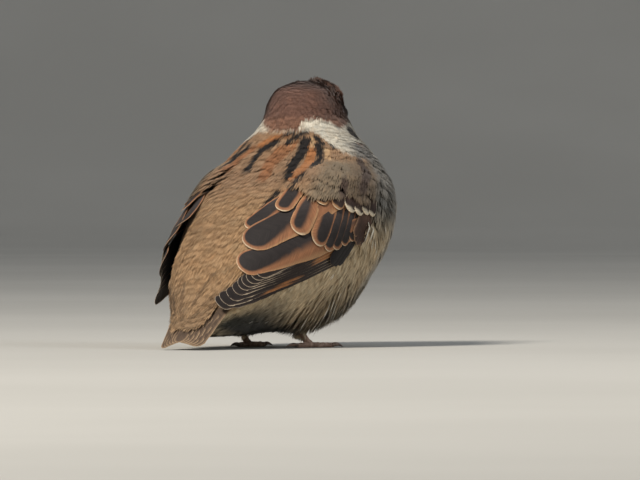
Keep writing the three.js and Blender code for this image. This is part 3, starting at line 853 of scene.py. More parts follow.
def make_bill(half):
    mesh = remeshed(joined_copy([f"bill_{half}"]), BILL_VOXEL, 3, f"bill_{half}_horn", BILL_GROWN)
    points = mesh_points(mesh)
    head = turned(points, -1.0)
    t = np.clip((BILL_BASE[0] - head[:, 1]) / (BILL_BASE[0] - BILL_TIP[0]), 0, 1)
    mouth = BILL_BASE[1] + (BILL_TIP[1] - BILL_BASE[1]) * t**1.6
    slim = ((1 - t**1.4) * 0.97 + 0.06) / (np.sqrt(1 - t**1.55) * 0.97 + 0.06)
    head[:, 0] *= slim
    head[:, 2] = mouth + (head[:, 2] - mouth) * slim
    points = turned(head)
    if half == "upper":
        for side in (-1, 1):
            nostril = turned(mirrored(NOSTRIL, side))
            gap = np.linalg.norm((points - nostril) * np.array([1, 0.7, 1]), axis=1)
            dent = NOSTRIL_DEPTH * (1 - smooth(gap, 0.15, 0.75))[:, None]
            points = points + dent * unit(turned(NOSTRIL_FOOT) - nostril)
    put_points(mesh, points)
    smooth_faces(mesh)
    bill = to_scene(f"bill_{half}_horn", mesh, BILL_HORN)
    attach(bill, "root")
    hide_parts(f"bill_{half}")


def make_claws(name, side):
    bm = bmesh.new()
    for bearing, length, claw in TOES.values():
        at = toe_place(side, bearing)
        low = TOE_RADIUS * 0.8
        start = length + 0.1
        tip = at(start + claw, CLAW_TIP_HEIGHT)
        line = bezier([at(start, low), at(start + claw * 0.5, low * 2.0), tip], CLAW_POINTS)
        t = np.linspace(0, 1, CLAW_POINTS)
        add_tube(bm, line, CLAW_RADIUS * (1 - t**1.6) + CLAW_TIP_RADIUS)
    mesh = mesh_from(bm, name)
    smooth_faces(mesh)
    claws = to_scene(name, mesh, CLAW_HORN)
    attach(claws, "root")
    word = "left" if side > 0 else "right"
    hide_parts(*(f"claw_{toe}_{word}" for toe in TOES))


make_eye("eyeball_left", 1)
make_eye("eyeball_right", -1)
make_bill("upper")
make_bill("lower")
make_claws("claws_left_foot", 1)
make_claws("claws_right_foot", -1)

# ---- Soft feathers -----------------------------------------------------------------------------------

LOCKS, LOCK_POINTS = 7, 7  # locks in a feather, and points in a lock
LOCK_QUADS = np.array([[0, 2, 5, 3], [2, 1, 4, 5], [1, 0, 3, 4]])
LOCK_TRIANGLES = np.array([[0, 1, 2], [3, 5, 6], [5, 4, 6], [4, 3, 6]])
PATCH = 0.003  # how far across a feather's place on the OFBake map is
COAT_FLOOR, VANE_FLOOR = 0.1, 0.06  # mm: the lowest that a soft feather and a crisp one may reach

# How far apart the roots of each coat are, in mm, and how much its tips are ruffled, in mm.
SPACING = {
    "crown": 0.88, "face": 0.7, "collar": 0.95, "mantle": 1.25, "rump": 1.3, "flank": 1.3, "breast": 1.25,
    "belly": 1.45, "tail_root": 1.25,
}
RUFFLE = {
    "crown": 0.03, "face": 0.03, "collar": 0.06, "mantle": 0.05, "rump": 0.05, "flank": 0.14, "breast": 0.07,
    "belly": 0.12, "tail_root": 0.05, "thigh": 0.05, "strand": 0.1,
}
# The share of the feathers of a coat that have a white shaft, and how much of their width is white.
WHITE_SHAFTS = {"flank": (0.03, 0.2), "breast": (0.01, 0.2), "strand": (1.0, 0.6)}

# The length of the feathers at each station on the back and on the front, in mm.
BACK_LENGTHS = (
    [-1, 0, 2, 3.4, 4.4, 5.4, 6.8, 8.5, 11, 14, 15.4, 16.2, 17],
    [2.6, 3.0, 4.0, 4.6, 5.0, 6.2, 8.2, 9.5, 11, 11, 9, 5, 3],
)
FRONT_LENGTHS = (
    [-1, 2, 3, 4, 5, 6, 7.5, 9.5, 12, 14, 17],
    [2.2, 2.0, 1.9, 2.3, 3.2, 5.0, 8.0, 10.5, 12, 10, 4],
)


def coat_length(s, wide):
    back, front = np.interp(s, *BACK_LENGTHS), np.interp(s, *FRONT_LENGTHS)
    return back + (front - back) * smooth(wide, 60, 105)


def coat_region(s, wide):
    """The name of the coat at a station and an angle from the middle of the back."""
    if s < 4.2 and wide > 100 or s < 4.9 and wide > 118:
        return "face"
    if s < 3.2 + 0.6 * (wide < 20) + 0.9 * (wide > 66):
        return "crown"
    if s < 5.6 and wide > 16:
        return "collar"
    if s > 14.6:
        return "tail_root"
    if wide < 84:
        return "mantle" if s < 9.0 else "rump"
    if s > 9.0 and wide < 132:
        return "flank"
    return "breast" if s < 9.0 else "belly"


# How far a wing presses the coat in, and how much further the left one does, in mm.
SUNK_UNDER_WING, SUNK_UNDER_LEFT_WING = 1.6, 1.0
LEFT_WING_IN = 5.0  # degrees: how much further from the middle of the back the left wing's upper edge lies
# The lower and upper edges of a folded wing: degrees from the middle of the back at each station.
LOW_EDGE = ([9.5, 10.4, 10.8, 11.2, 12.0, 12.9, 13.7, 14.5], [91, 90, 90, 92, 80, 66.5, 54, 43])
HIGH_EDGE = ([8.5, 8.7, 9.3, 10.7, 14.0], [58, 38, 24, 17, 32])


def under_wing(s, a):
    """1 well inside the space that a folded wing or the side of the tail covers, 0 outside it."""
    wide = np.abs(a)
    low = np.interp(s, *LOW_EDGE)
    high = np.interp(s, *HIGH_EDGE) + LEFT_WING_IN * (a > 0)
    wing = smooth(np.minimum(low - wide, wide - high), 0, 3.5)
    wing = wing * smooth(s, 8.9, 9.5) * (1 - smooth(s, 13.4, 14.2))
    tail = smooth(s, 14.7, 15.3) * smooth(wide, 36, 44) * (1 - smooth(wide, 86, 98))
    return np.maximum(wing, 0.8 * tail)


COLOUR_LIMITS = (0.004, 0.95)  # the darkest and the lightest that a feather may be
CAP_BELOW, LAST_ROOT = 0.15, 16.4  # stations: the cap of the crown is filled in, and no root is further down
NEXT_CELLS = [(x, y, z) for x in (-1, 0, 1) for y in (-1, 0, 1) for z in (-1, 0, 1)]


def apart(p, q, gap):
    return q is None or (q[0] - p[0]) ** 2 + (q[1] - p[1]) ** 2 + (q[2] - p[2]) ** 2 >= gap * gap


def scattered(candidates, seed):
    """Evenly scattered roots for each coat: each keeps its coat's spacing from the others."""
    rng = np.random.default_rng(seed)
    s = rng.uniform(-0.9, 17.0, candidates)
    a = rng.uniform(-180, 180, candidates)
    on_cap = s < CAP_BELOW
    s = np.minimum(np.where(on_cap, 0.0, s), LAST_ROOT)
    points = body_point(s, a)
    share = np.sqrt(rng.uniform(0, 1, candidates))[:, None]
    points = np.where(on_cap[:, None], CAP_MIDDLE + (points - CAP_MIDDLE) * share, points)
    kept, cells = {}, {}
    for p, station, angle in zip(points.tolist(), s.tolist(), a.tolist()):
        coat = coat_region(station, abs(angle))
        gap = SPACING[coat]
        grid = cells.setdefault(coat, {})
        x, y, z = (math.floor(c / gap) for c in p)
        if all(apart(p, grid.get((x + i, y + j, z + k)), gap) for i, j, k in NEXT_CELLS):
            grid[(x, y, z)] = p
            kept.setdefault(coat, []).append(p)
    return {coat: np.array(places) for coat, places in kept.items()}


PATH_STEPS = 4


def walk(form, start, lengths):
    """Places on the surface at the root, the middle and the end of each feather's path."""
    p, n, i = form.settle(start)
    stops = [(p, n, i)]
    for k in range(PATH_STEPS):
        way = lie_of(form, p, n, i)
        p, n, i = form.settle(p + way * (lengths / PATH_STEPS)[:, None])
        if k + 1 in (PATH_STEPS // 2, PATH_STEPS):
            stops.append((p, n, i))
    return stops


SHORTEST_FEATHER = 0.9  # mm
# How far from the front of an eye and from the middle of the bill's base the feathers end, in mm, and how far
# in front of the eyeball's middle its front is taken to be.
EYE_BARE, BILL_BARE, EYE_FRONT = 2.3, 3.3, 2.2


def room_to_face(form, roots):
    """How far a feather may run from each root before it reaches an eye or the bill, in mm."""
    _, n, i = form.settle(roots)
    way = lie_of(form, roots, n, i)
    room = np.full(len(roots), 1e9)
    for side in (-1, 1):
        eye = eye_line(side, EYE_FRONT)[1]
        gap = np.linalg.norm(roots - eye, axis=1)
        towards = np.sum(way * unit(eye - roots), axis=1) > 0.55
        room = np.minimum(room, np.where(towards, gap - EYE_BARE, np.where(gap < EYE_BARE + 0.2, 0, 1e9)))
    bill = roots - turned(BILL_ROOT)
    beside = np.hypot(bill[:, 0], bill[:, 2] * 0.9) < BILL_BARE
    return np.where(beside & (bill[:, 1] < 0), 0, room)


def along(values, t):
    """The value at a share t of each path, from its values at the root, the middle and the end."""
    a, b, c = values
    w0, w1, w2 = 2 * (t - 0.5) * (t - 1), -4 * t * (t - 1), 2 * t * (t - 0.5)
    return a[:, None] * w0[..., None] + b[:, None] * w1[..., None] + c[:, None] * w2[..., None]


def lock_colours(form, points, coat, seed, u, rng):
    """The colour of each point of the locks: the plumage's under the tip and the middle, a little varied."""
    count = len(u)
    ridge, end = points[5], points[6]
    i_tip, i_mid = form.near(end), form.near(ridge * 0.5 + end * 0.5)
    tip = plumage(i_tip.ravel(), seed + 1, form).reshape(count, LOCKS, 3)
    mid = plumage(i_mid.ravel(), seed + 2, form).reshape(count, LOCKS, 3)
    each = rng.normal(1.0, 0.045, (count, 1, 1)) * rng.normal(1.0, 0.045, (count, LOCKS, 1))
    warm = 1 + rng.normal(0, 0.02, (count, 1, 1)) * np.array([1, 0, -1])
    edge = 1 + 0.10 * (np.abs(u) > 0.8)[..., None]
    tip, mid = tip * each * warm * edge, mid * each * warm
    if coat in WHITE_SHAFTS:
        share, width = WHITE_SHAFTS[coat]
        shaft = (rng.uniform(0, 1, (count, 1)) < share) & (np.abs(u) < width)
        tip = np.where(shaft[..., None], SHAFT_WHITE, tip)
        mid = np.where(shaft[..., None], SHAFT_WHITE * 0.95, mid)
    return [mid * 0.84] * 3 + [mid * 0.97] * 3 + [tip]


# The rings of a lock from its root to its tip: share of the length, of the fan's opening and of the lock's
# width. The last ring is the tip, where each lock ends at its own length.
LOCK_RINGS = [(0.0, 0.28, 0.5), (0.55, 0.8, 0.8), (None, 0.98, 0.0)]


def fan(form, roots, coat, seed, raised=None, length=None, slim=1.0):
    """Soft feathers, each a fan of thin locks, as arrays: points, colours and the two maps."""
    rng = np.random.default_rng(seed)
    count = len(roots)
    i = form.near(roots)
    full = coat_length(form.s[i], np.abs(form.a[i])) if length is None else np.full(count, length)
    lengths = full * rng.uniform(0.85, 1.15, count)
    if coat in ("crown", "face", "collar"):
        lengths = np.minimum(lengths, room_to_face(form, roots))
        keep = lengths > SHORTEST_FEATHER
        roots, lengths, full, count = roots[keep], lengths[keep], full[keep], int(keep.sum())
    stops = walk(form, roots, lengths)
    ruffle = RUFFLE[coat]
    depth = np.clip(0.21 * lengths, 0.35, 2.2)[:, None]
    s_end, a_end = form.s[stops[2][2]], form.a[stops[2][2]]
    rise = np.zeros(count) if raised is None else raised(s_end, a_end)
    sunk = under_wing(s_end, a_end) * (1 - smooth(rise, 0.0, 0.5)) if form is BODY else np.zeros(count)
    spring = np.where(np.abs(a_end) > LOOSE_FROM, 1.5, 0.55)[:, None]  # where along it a raised feather lifts
    path, outs = [stop[0] for stop in stops], [stop[1] for stop in stops]
    u = np.linspace(-1, 1, LOCKS)[None, :] + rng.normal(0, 0.05, (count, LOCKS))
    twist = rng.normal(0, 0.08, (count, 1)) + rng.normal(0, 0.04 + 0.15 * ruffle, (count, LOCKS))
    t_end = np.minimum(1 - 0.24 * u**2 + rng.normal(0, 0.035, (count, LOCKS)), 1.0)
    wide = slim * 0.72 * (full**0.83)[:, None] * rng.uniform(0.88, 1.14, (count, 1))
    wide = wide * np.clip(lengths / full * 1.2, 0.3, 1)[:, None]
    puff = 0.1 + rng.normal(0, 0.04, (count, 1)) + np.abs(rng.normal(0, ruffle, (count, LOCKS)))
    puff = puff - (SUNK_UNDER_WING + SUNK_UNDER_LEFT_WING * (a_end > 0))[:, None] * sunk[:, None]
    points, vane, spread = [], [], []
    for t, open_share, lock_share in LOCK_RINGS:
        t = t_end if t is None else np.full((count, LOCKS), t)
        centre, out = along(path, t), unit(along(outs, t))
        way = unit(along(path, t + 0.04) - along(path, t - 0.04))
        across = unit(np.cross(way, out))
        side = wide / 2 * (u * open_share + twist * t * 2.2)
        height = -depth * (1 - t) ** 1.35 + puff * t**1.6 - 0.05 * wide * u**2
        height = height + rise[:, None] * smooth(t, 0.0, spring) / smooth(1.0, 0.0, spring)
        middle = centre + across * side[..., None] + out * height[..., None]
        half = (wide / LOCKS * lock_share)[..., None]
        ridge = 0.03 + 0.012 * wide[..., None]
        if lock_share:
            ring = [middle - across * half, middle + across * half, middle + out * ridge]
            offsets = [(-half[..., 0], 0), (half[..., 0], 0), (np.zeros_like(side), 0.06)]
        else:
            ring, offsets = [middle], [(np.zeros_like(side), 0.0)]
        for point, (dx, dt) in zip(ring, offsets):
            points.append(point)
            vane.append(np.stack([(side + dx) * 0.1 + rng.uniform(0, 1, 1), t + dt], axis=-1))
            spread.append(np.stack([(side + dx) / (wide * 1.3), (t + dt) * 0.9 - 0.45], axis=-1))
    colours = lock_colours(form, points, coat, seed, u, rng)
    i0 = stops[0][2]
    home = np.stack([(form.a[i0] + 180) / 360, (form.s[i0] + 1) / 18.5], axis=-1) * 0.98 + 0.01
    bake = [home[:, None, :] + place * PATCH for place in spread]
    lists = (points, colours, vane, bake)
    return tuple(np.stack(parts, axis=2).reshape(-1, parts[0].shape[-1]) for parts in lists)


def lay_coat(name, parts):
    points, colours, vane, bake = (np.concatenate(x) for x in zip(*parts))
    locks = np.arange(len(points) // LOCK_POINTS)[:, None, None] * LOCK_POINTS
    quads = (LOCK_QUADS[None] + locks).reshape(-1, 4)
    triangles = (LOCK_TRIANGLES[None] + locks).reshape(-1, 3)
    points[:, 2] = np.maximum(points[:, 2], COAT_FLOOR)
    mesh = mesh_of(name, points, quads, triangles)
    add_map(mesh, "OFBake", bake)
    add_map(mesh, "Vane", vane)
    add_colour(mesh, "Tint", np.clip(colours, *COLOUR_LIMITS))
    coat = to_scene(name, mesh, SOFT)
    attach(coat, "root")


# How far down the back the shoulder feathers reach over the wing: station at each angle.
SHOULDER_EDGE = ([22, 30, 39, 50, 58, 67, 84], [8.5, 8.75, 9.0, 9.05, 9.0, 8.9, 8.9])
LEFT_WING_SUNK = 0.9  # mm: how much closer to the body the left wing's feathers lie than the right one's
OVER_WING, BEFORE_WING, LOOSE, CREST = 3.1, 2.6, 3.8, 2.2  # mm
LOOSE_FROM = 92.0  # degrees from the middle of the back, where the loose feathers of the flanks begin


def standing(s, a):
    """How far the feathers stand out, in mm: over the upper and front edges of the folded wings, loose over
    the thighs, and in a low crest on the right of the crown."""
    wide = np.abs(a)
    reach = np.interp(wide, *SHOULDER_EDGE)
    top = smooth(s, 6.4, 8.0) * (1 - smooth(s, reach - 0.05, reach + 0.08)) * smooth(wide, 22, 30)
    top = top * (1 - smooth(wide, 84, 94))
    front = smooth(wide, 88.5, 91) * (1 - smooth(wide, 102, 112))
    front = front * smooth(s, 7.0, 8.4) * (1 - smooth(s, 10.2, 11.2))
    loose = smooth(s, 11.2, 13.0) * (1 - smooth(s, 14.0, 14.9)) * smooth(wide, LOOSE_FROM, 112)
    loose = loose * (1 - smooth(wide, 146, 164))
    crest = smooth(-a, 66, 96) * (1 - smooth(-a, 132, 152))
    crest = crest * smooth(s, -0.9, 0.0) * (1 - smooth(s, 1.2, 2.1))
    cover = np.maximum(OVER_WING * top, BEFORE_WING * front)
    cover = cover - LEFT_WING_SUNK * (a > 0) * np.maximum(top, front)
    return np.maximum(cover, np.maximum(LOOSE * loose, CREST * crest))


def raised_by(height):
    return lambda s, a: 0 * s + height


SCATTER = 150000
roots = scattered(SCATTER, 11)


# The thigh's radius at each share of its length, in mm, and the place on the body whose colour it has.
THIGH_RADII, THIGH_STATION, THIGH_ANGLE = ([0, 0.5, 1], [5.8, 5.1, 2.1]), 13.0, 118.0


def thigh_form(side):
    t, angle = np.meshgrid(np.linspace(0, 1, 24), np.linspace(0, math.tau, 40, endpoint=False), indexing="ij")
    t, angle = t.ravel(), angle.ravel()
    top, foot = mirrored(THIGH_TOP, side), mirrored(THIGH_FOOT, side)
    down = unit(foot - top)
    first = unit(np.cross(down, [0, 1.0, 0]))
    second = np.cross(down, first)
    out = first * np.cos(angle)[:, None] + second * np.sin(angle)[:, None]
    radius = np.interp(t, *THIGH_RADII)
    p = top + (foot - top) * t[:, None] + out * radius[:, None]
    downs, stations = np.tile(down, (len(p), 1)), np.full(len(p), THIGH_STATION)
    return Form(p, out, downs, stations, np.full(len(p), side * THIGH_ANGLE))


# Roots of the pale feathers over the front edge of a wing: station, and degrees from the middle of the back.
FRONT_STRANDS = [(8.7, 88), (8.9, 90.5), (8.8, 94)]
LONG_STRANDS, THIGH_FEATHERS = 26, 190


def long_strand_roots():
    """Roots of the long white feathers that hang from the lower flanks, on the right and left in turn."""
    rng = np.random.default_rng(51)
    s, wide = rng.uniform(11.7, 12.9, LONG_STRANDS), rng.uniform(103, 132, LONG_STRANDS)
    return body_point(s, wide * np.where(np.arange(LONG_STRANDS) % 2, 1, -1))


def front_strand_roots():
    """Roots of the pale feathers that hang over the front edges of the folded wings."""
    s, wide = np.array(FRONT_STRANDS).T
    return np.concatenate([body_point(s, wide * side) for side in (-1, 1)])


TAIL_ALONG = unit(TAIL_TIP - TAIL_ROOT)
TAIL_ACROSS = unit(np.array([1.0, 0, 0]) - TAIL_ALONG * TAIL_ALONG[0])
TAIL_OUT = -np.cross(TAIL_ALONG, TAIL_ACROSS)


def tail_point(x, d, height):
    """A place on the tail: x across it, d down it from the root, and a height over its arched top."""
    height = height - TAIL_ARCH * (x / TAIL_HALF_WIDTH) ** 2
    return TAIL_ROOT + TAIL_ALONG * d[..., None] + TAIL_ACROSS * x[..., None] + TAIL_OUT * height[..., None]


TAIL_BED_HEIGHT, TAIL_BED_STATION, TAIL_COVERS = 1.15, 15.0, 230


def tail_bed():
    """The surface that the last feathers of the rump lie on, over the tail."""
    d, x = (v.ravel() for v in np.meshgrid(np.linspace(20, 52, 64), np.linspace(-11, 11, 40), indexing="ij"))
    count = len(d)
    p = tail_point(x, d, np.full(count, TAIL_BED_HEIGHT))
    out, down = np.tile(TAIL_OUT, (count, 1)), np.tile(TAIL_ALONG, (count, 1))
    return Form(p, out, down, np.full(count, TAIL_BED_STATION), 0 * x)


TAIL_BED = tail_bed()


def tail_cover_roots():
    rng = np.random.default_rng(52)
    d, share = rng.uniform(22, 37, TAIL_COVERS), rng.uniform(-1, 1, TAIL_COVERS)
    half_width = 6.6 - 0.17 * (d - 22)
    return tail_point(share * half_width, d, np.full(TAIL_COVERS, TAIL_BED_HEIGHT))


coat_pieces = {
    "coat_crown": (["crown"], "crown"),
    "coat_face_and_collar": (["face", "collar"], "collar"),
    "coat_mantle": (["mantle"], "back"),
    "coat_rump": (["rump", "tail_root"], "back"),
    "coat_flanks": (["flank"], "belly"),
    "coat_breast": (["breast"], "belly"),
    "coat_belly": (["belly"], "belly"),
}
for number, (name, (regions, slot)) in enumerate(coat_pieces.items()):
    parts = [fan(BODY, roots[r], r, 100 * number + k, standing) for k, r in enumerate(regions)]
    if name == "coat_belly":
        for side in (-1, 1):
            thigh = thigh_form(side)
            rng = np.random.default_rng(77 + side)
            pick = rng.choice(len(thigh.p), THIGH_FEATHERS, replace=False)
            parts.append(fan(thigh, thigh.p[pick], "thigh", 900 + side, length=3.0))
    if name == "coat_flanks":
        parts.append(fan(BODY, long_strand_roots(), "strand", 950, raised_by(5.4), length=14.0, slim=0.4))
        parts.append(fan(BODY, front_strand_roots(), "strand", 951, raised_by(3.4), length=13.0, slim=0.18))
    if name == "coat_rump":
        parts.append(fan(TAIL_BED, tail_cover_roots(), "tail_root", 960, length=8.0))
    lay_coat(name, parts)

# ---- Wing and tail feathers --------------------------------------------------------------------------

TIP_STANDS_OFF = 4.2


def wing_place(line, width_ahead=0.0, lift=0.0, sunk=0.0):
    """A way of giving places on the right wing beside a line over the body. lift raises the tip."""
    (s0, r0), (s1, r1) = line

    def place(t, across, height, bow):
        bend = bow * np.sin(math.pi * t)
        s, a = s0 + (s1 - s0) * t, -(r0 + (r1 - r0) * t)
        centre = body_point(s, a)
        length = np.linalg.norm(np.diff(centre, axis=0), axis=1).sum()
        way = unit(np.gradient(centre, axis=0))
        side = unit(np.cross(way, body_normal(s, a)))
        flat = centre[:, None] + side[:, None] * (across + bend[:, None] + width_ahead)[..., None]
        p, n, i = BODY.settle(flat)
        off = TIP_STANDS_OFF * smooth(BODY.s[i], 12.3, 14.4) + lift * t[:, None] ** 2 - sunk
        return p + n * (height + off)[..., None], length

    return place


def tail_place(x0, x1, length):
    """A way of giving places on a tail feather that runs straight from x0 at the root to x1 at the tip."""

    def place(t, across, height, bow):
        x = (x0 + (x1 - x0) * t)[:, None] + across
        return tail_point(x, (length * t)[:, None] + 0 * across, height), length

    return place


ROWS = 26
ROW_SHARES = 1 - (1 - np.linspace(0, 1, ROWS)) ** 1.7
ROW_SHARES[-1] = 0.9985
ACROSS = np.array([-1, -0.94, -0.84, -0.66, -0.36, 0, 0.36, 0.66, 0.84, 0.94, 1])
COLUMNS = len(ACROSS)
VANE_THICKNESS, SHAFT_HALF_WIDTH, ROOT_WIDTH, TIP_TAPER = 0.09, 0.28, 0.7, 2.2
EDGE_STEPS = 4


def twice(values):
    """The same values for the upper and the under side."""
    return np.concatenate([values, values])


def vane_faces():
    """The faces of a closed vane, and the places of their corners on the OFBake map: the upper side on its
    left half, the under side on its right one, and the thin edge round the upper side."""
    n = ROWS * COLUMNS
    grid = np.arange(n).reshape(ROWS, COLUMNS)
    a, b, c, d = grid[:-1, :-1], grid[:-1, 1:], grid[1:, 1:], grid[1:, :-1]
    over = np.stack([a, b, c, d], axis=-1).reshape(-1, 4)
    below = np.stack([d, c, b, a], axis=-1).reshape(-1, 4) + n
    loop = np.concatenate([grid[0, :], grid[1:, -1], grid[-1, -2::-1], grid[-2:0:-1, 0]])
    around = np.roll(loop, -1)
    edge = np.stack([loop, loop + n, around + n, around], axis=-1)
    flat = np.stack(np.meshgrid(ACROSS * 0.5 + 0.5, ROW_SHARES), axis=-1).reshape(-1, 2)
    top, under = flat * [0.42, 0.9] + [0.04, 0.05], flat * [0.42, 0.9] + [0.54, 0.05]
    places = np.concatenate([top, under])
    lip = twice(top + np.sign(flat - 0.5) * (np.abs(flat - 0.5) > 0.499) * [0.02, 0.025])
    edge_corners = np.stack([top[loop], lip[loop + n], lip[around + n], top[around]], axis=1)
    return np.concatenate([over, below, edge]), np.concatenate([places[over], places[below], edge_corners])


VANE_QUADS, VANE_CORNERS = vane_faces()


def make_vane(place, half_width, height, dip, rims, colours, seed, tip_round=1.3, bow=0.0, panel=None,
              swell=0.0, camber=0.3, shaft_rise=0.07):
    """One crisp feather: a thin closed vane with a shaft. Sizes are in mm. dip is how far the root lies
    below the tip. rims are the widths of the edge colour on the lower side, at the tip and on the upper side,
    and swell widens the lower one towards the root. colours are centre, rim, and fringe at the sides and at
    the tip. panel is a stretch of the lower side that has a wider, warmer rim: where it starts and ends, in
    shares of the length, and by how much."""
    rng = np.random.default_rng(seed)
    _, length = place(np.linspace(0, 1, 12), np.zeros((12, 1)), np.zeros((12, 1)), 0.0)
    round_share = min(0.6, tip_round * half_width / length)
    t, u = ROW_SHARES, ACROSS
    start = 1 - round_share
    body = ROOT_WIDTH + (1 - ROOT_WIDTH) * smooth(t, 0.0, 0.45)
    end = np.sqrt(np.maximum(1 - (np.clip((t - start) / round_share, 0, 1)) ** TIP_TAPER, 0))
    half = half_width * body * end
    x = half[:, None] * u[None, :]
    rag = rng.normal(0, 0.05, (ROWS, COLUMNS)) * (np.abs(u) > 0.95)
    x = x + rag
    y = np.repeat((t * length)[:, None], COLUMNS, axis=1)
    shaft = shaft_rise * np.exp(-((x / SHAFT_HALF_WIDTH) ** 2)) * (1 - 0.6 * t[:, None])
    level = height - dip * (1 - t[:, None]) ** 1.2 - camber * (x / half_width) ** 2
    waves = 0.3 * shaft_rise * np.sin(y * 1.1 + seed) * np.abs(u)[None, :]
    top, _ = place(t, x, level + shaft + waves, bow)
    under, _ = place(t, x, level + waves - VANE_THICKNESS * (1 - 0.55 * np.abs(u)[None, :] ** 3), bow)
    # how far each point is in from the edge, against the rim's width there
    edge_t = np.concatenate([t, t[::-1]])
    edge_u = np.concatenate([-np.ones(ROWS), np.ones(ROWS)])
    edge_half = np.concatenate([half, half[::-1]])
    edge = np.column_stack([edge_u * edge_half, edge_t * length])
    q = edge_u * np.where(edge_t < start, 1.0, edge_half / half_width)
    lower, tip, upper = rims
    rim = np.where(q < 0, tip + (lower - tip) * np.abs(q), tip + (upper - tip) * q)
    rim = rim + swell * (edge_u < 0) * (1 - smooth(edge_t, 0.35, 0.92))
    p0, p1, extra = panel or (0.0, 0.0, 0.0)

    def in_panel(t):
        return (extra > 0) * smooth(t, p0 - 0.05, p0 + 0.03) * (1 - smooth(t, p1 - 0.03, p1 + 0.05))

    rim = rim + extra * (edge_u < 0) * in_panel(edge_t)
    spots = np.linspace(0, len(edge) - 1, len(edge) * EDGE_STEPS)
    edge = np.column_stack([np.interp(spots, np.arange(len(edge)), edge[:, k]) for k in (0, 1)])
    rim, q = (np.interp(spots, np.arange(len(v)), v) for v in (rim, q))
    flat = np.stack([x, y], axis=-1).reshape(-1, 1, 2)
    gap = np.linalg.norm(flat - edge[None], axis=2) / np.maximum(rim, 0.08)
    nearest = gap.argmin(axis=1)
    field = gap.min(axis=1)
    tipness = 1 - smooth(np.abs(q[nearest]), 0.35, 0.9)
    centre, rim_colour, side_fringe, tip_fringe = colours
    fringe = side_fringe + (tip_fringe - side_fringe) * tipness[:, None]
    warm = np.repeat(in_panel(t), COLUMNS)[:, None]
    fringe = fringe + (PANEL_FRINGE - fringe) * warm
    rim_colour = rim_colour + (PANEL_RIM - rim_colour) * warm
    each = rng.normal(1, 0.04)
    brown_root = (1 + 0.9 * (1 - smooth(t, 0.25, 0.65)))[:, None, None]
    centres = (centre * brown_root * each + 0 * x[..., None]).reshape(-1, 3)
    # the barbs run outwards and on towards the tip
    barbs = (y - 0.9 * np.abs(x)) * 0.1
    vane = np.stack([x * 0.1 + seed * 0.37, barbs + seed * 0.61], axis=-1).reshape(-1, 2)
    return {
        "points": np.concatenate([top.reshape(-1, 3), under.reshape(-1, 3)]),
        "Field": twice(field),
        "Centre": twice(centres),
        "Rim": twice(rim_colour * each),
        "Fringe": twice(fringe * each),
        "Vane": twice(vane),
    }


def lay_vanes(name, vanes, replaces, mirror=False):
    """Joins vanes in one piece. mirror puts them on the other side of the bird."""
    columns = math.ceil(math.sqrt(len(vanes)))
    cells = range(len(vanes))
    corners = np.concatenate([(VANE_CORNERS + [k % columns, k // columns]) / columns for k in cells])
    quads = np.concatenate([VANE_QUADS + k * 2 * ROWS * COLUMNS for k in cells])

    def join(key):
        return np.concatenate([v[key] for v in vanes])

    points = join("points")
    if mirror:
        points = points * np.array([-1, 1, 1])
        quads, corners = quads[:, ::-1], corners[:, ::-1]
    points[:, 2] = np.maximum(points[:, 2], VANE_FLOOR)
    mesh = mesh_of(name, points, quads, np.zeros((0, 3), int))
    add_corner_map(mesh, "OFBake", corners)
    add_map(mesh, "Vane", join("Vane"))
    for key in ("Centre", "Rim", "Fringe"):
        add_colour(mesh, key, np.clip(join(key), *COLOUR_LIMITS))
    add_number(mesh, "Field", join("Field"))
    piece = to_scene(name, mesh, VANE)
    bm = bmesh.new()
    bm.from_mesh(mesh)
    bmesh.ops.recalc_face_normals(bm, faces=bm.faces)
    bm.to_mesh(mesh)
    bm.free()
    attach(piece, "root")
    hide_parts(*replaces)


CENTRE_SET = (WING_BLACK, WING_RUFOUS, WING_BUFF, WING_TIP)
MEDIAN_SET = (rgb("3a2c27"), rgb("d3c5ad"), WING_TIP, WING_TIP)
INNER_MEDIAN_SET = (rgb("3a2c27"), rgb("a37a55"), WING_BUFF, WING_TIP)
FLIGHT_SET = (rgb("251f1d"), rgb("362c28"), rgb("d2bfa5"), rgb("d2c3ad"))
DARK_SET = (rgb("1f1b1b"), rgb("262020"), rgb("3d3029"), rgb("4a3d35"))
CHESTNUT_SET = (rgb("46332a"), rgb("6b5040"), rgb("917458"), rgb("957a60"))

# Places are a station and an angle from the middle of the back on the right wing. Rims are the widths of the
# edge colour on the lower side, at the tip and on the upper side. Sizes are in mm.
# Each tertial: root place, tip place, half width, height, rims, swell of the lower rim, and bow.
TERTIALS = [
    ((8.5, 31), (10.15, 15.5), 3.2, 1.45, (1.0, 1.1, 0.5), 0.6, 0.0),
    ((9.6, 85), (11.75, 24), 4.5, 1.6, (1.2, 1.05, 0.5), 3.6, -0.7),
    ((8.6, 59), (10.85, 20.5), 5.3, 1.95, (1.3, 1.05, 0.55), 3.2, 0.0),
]
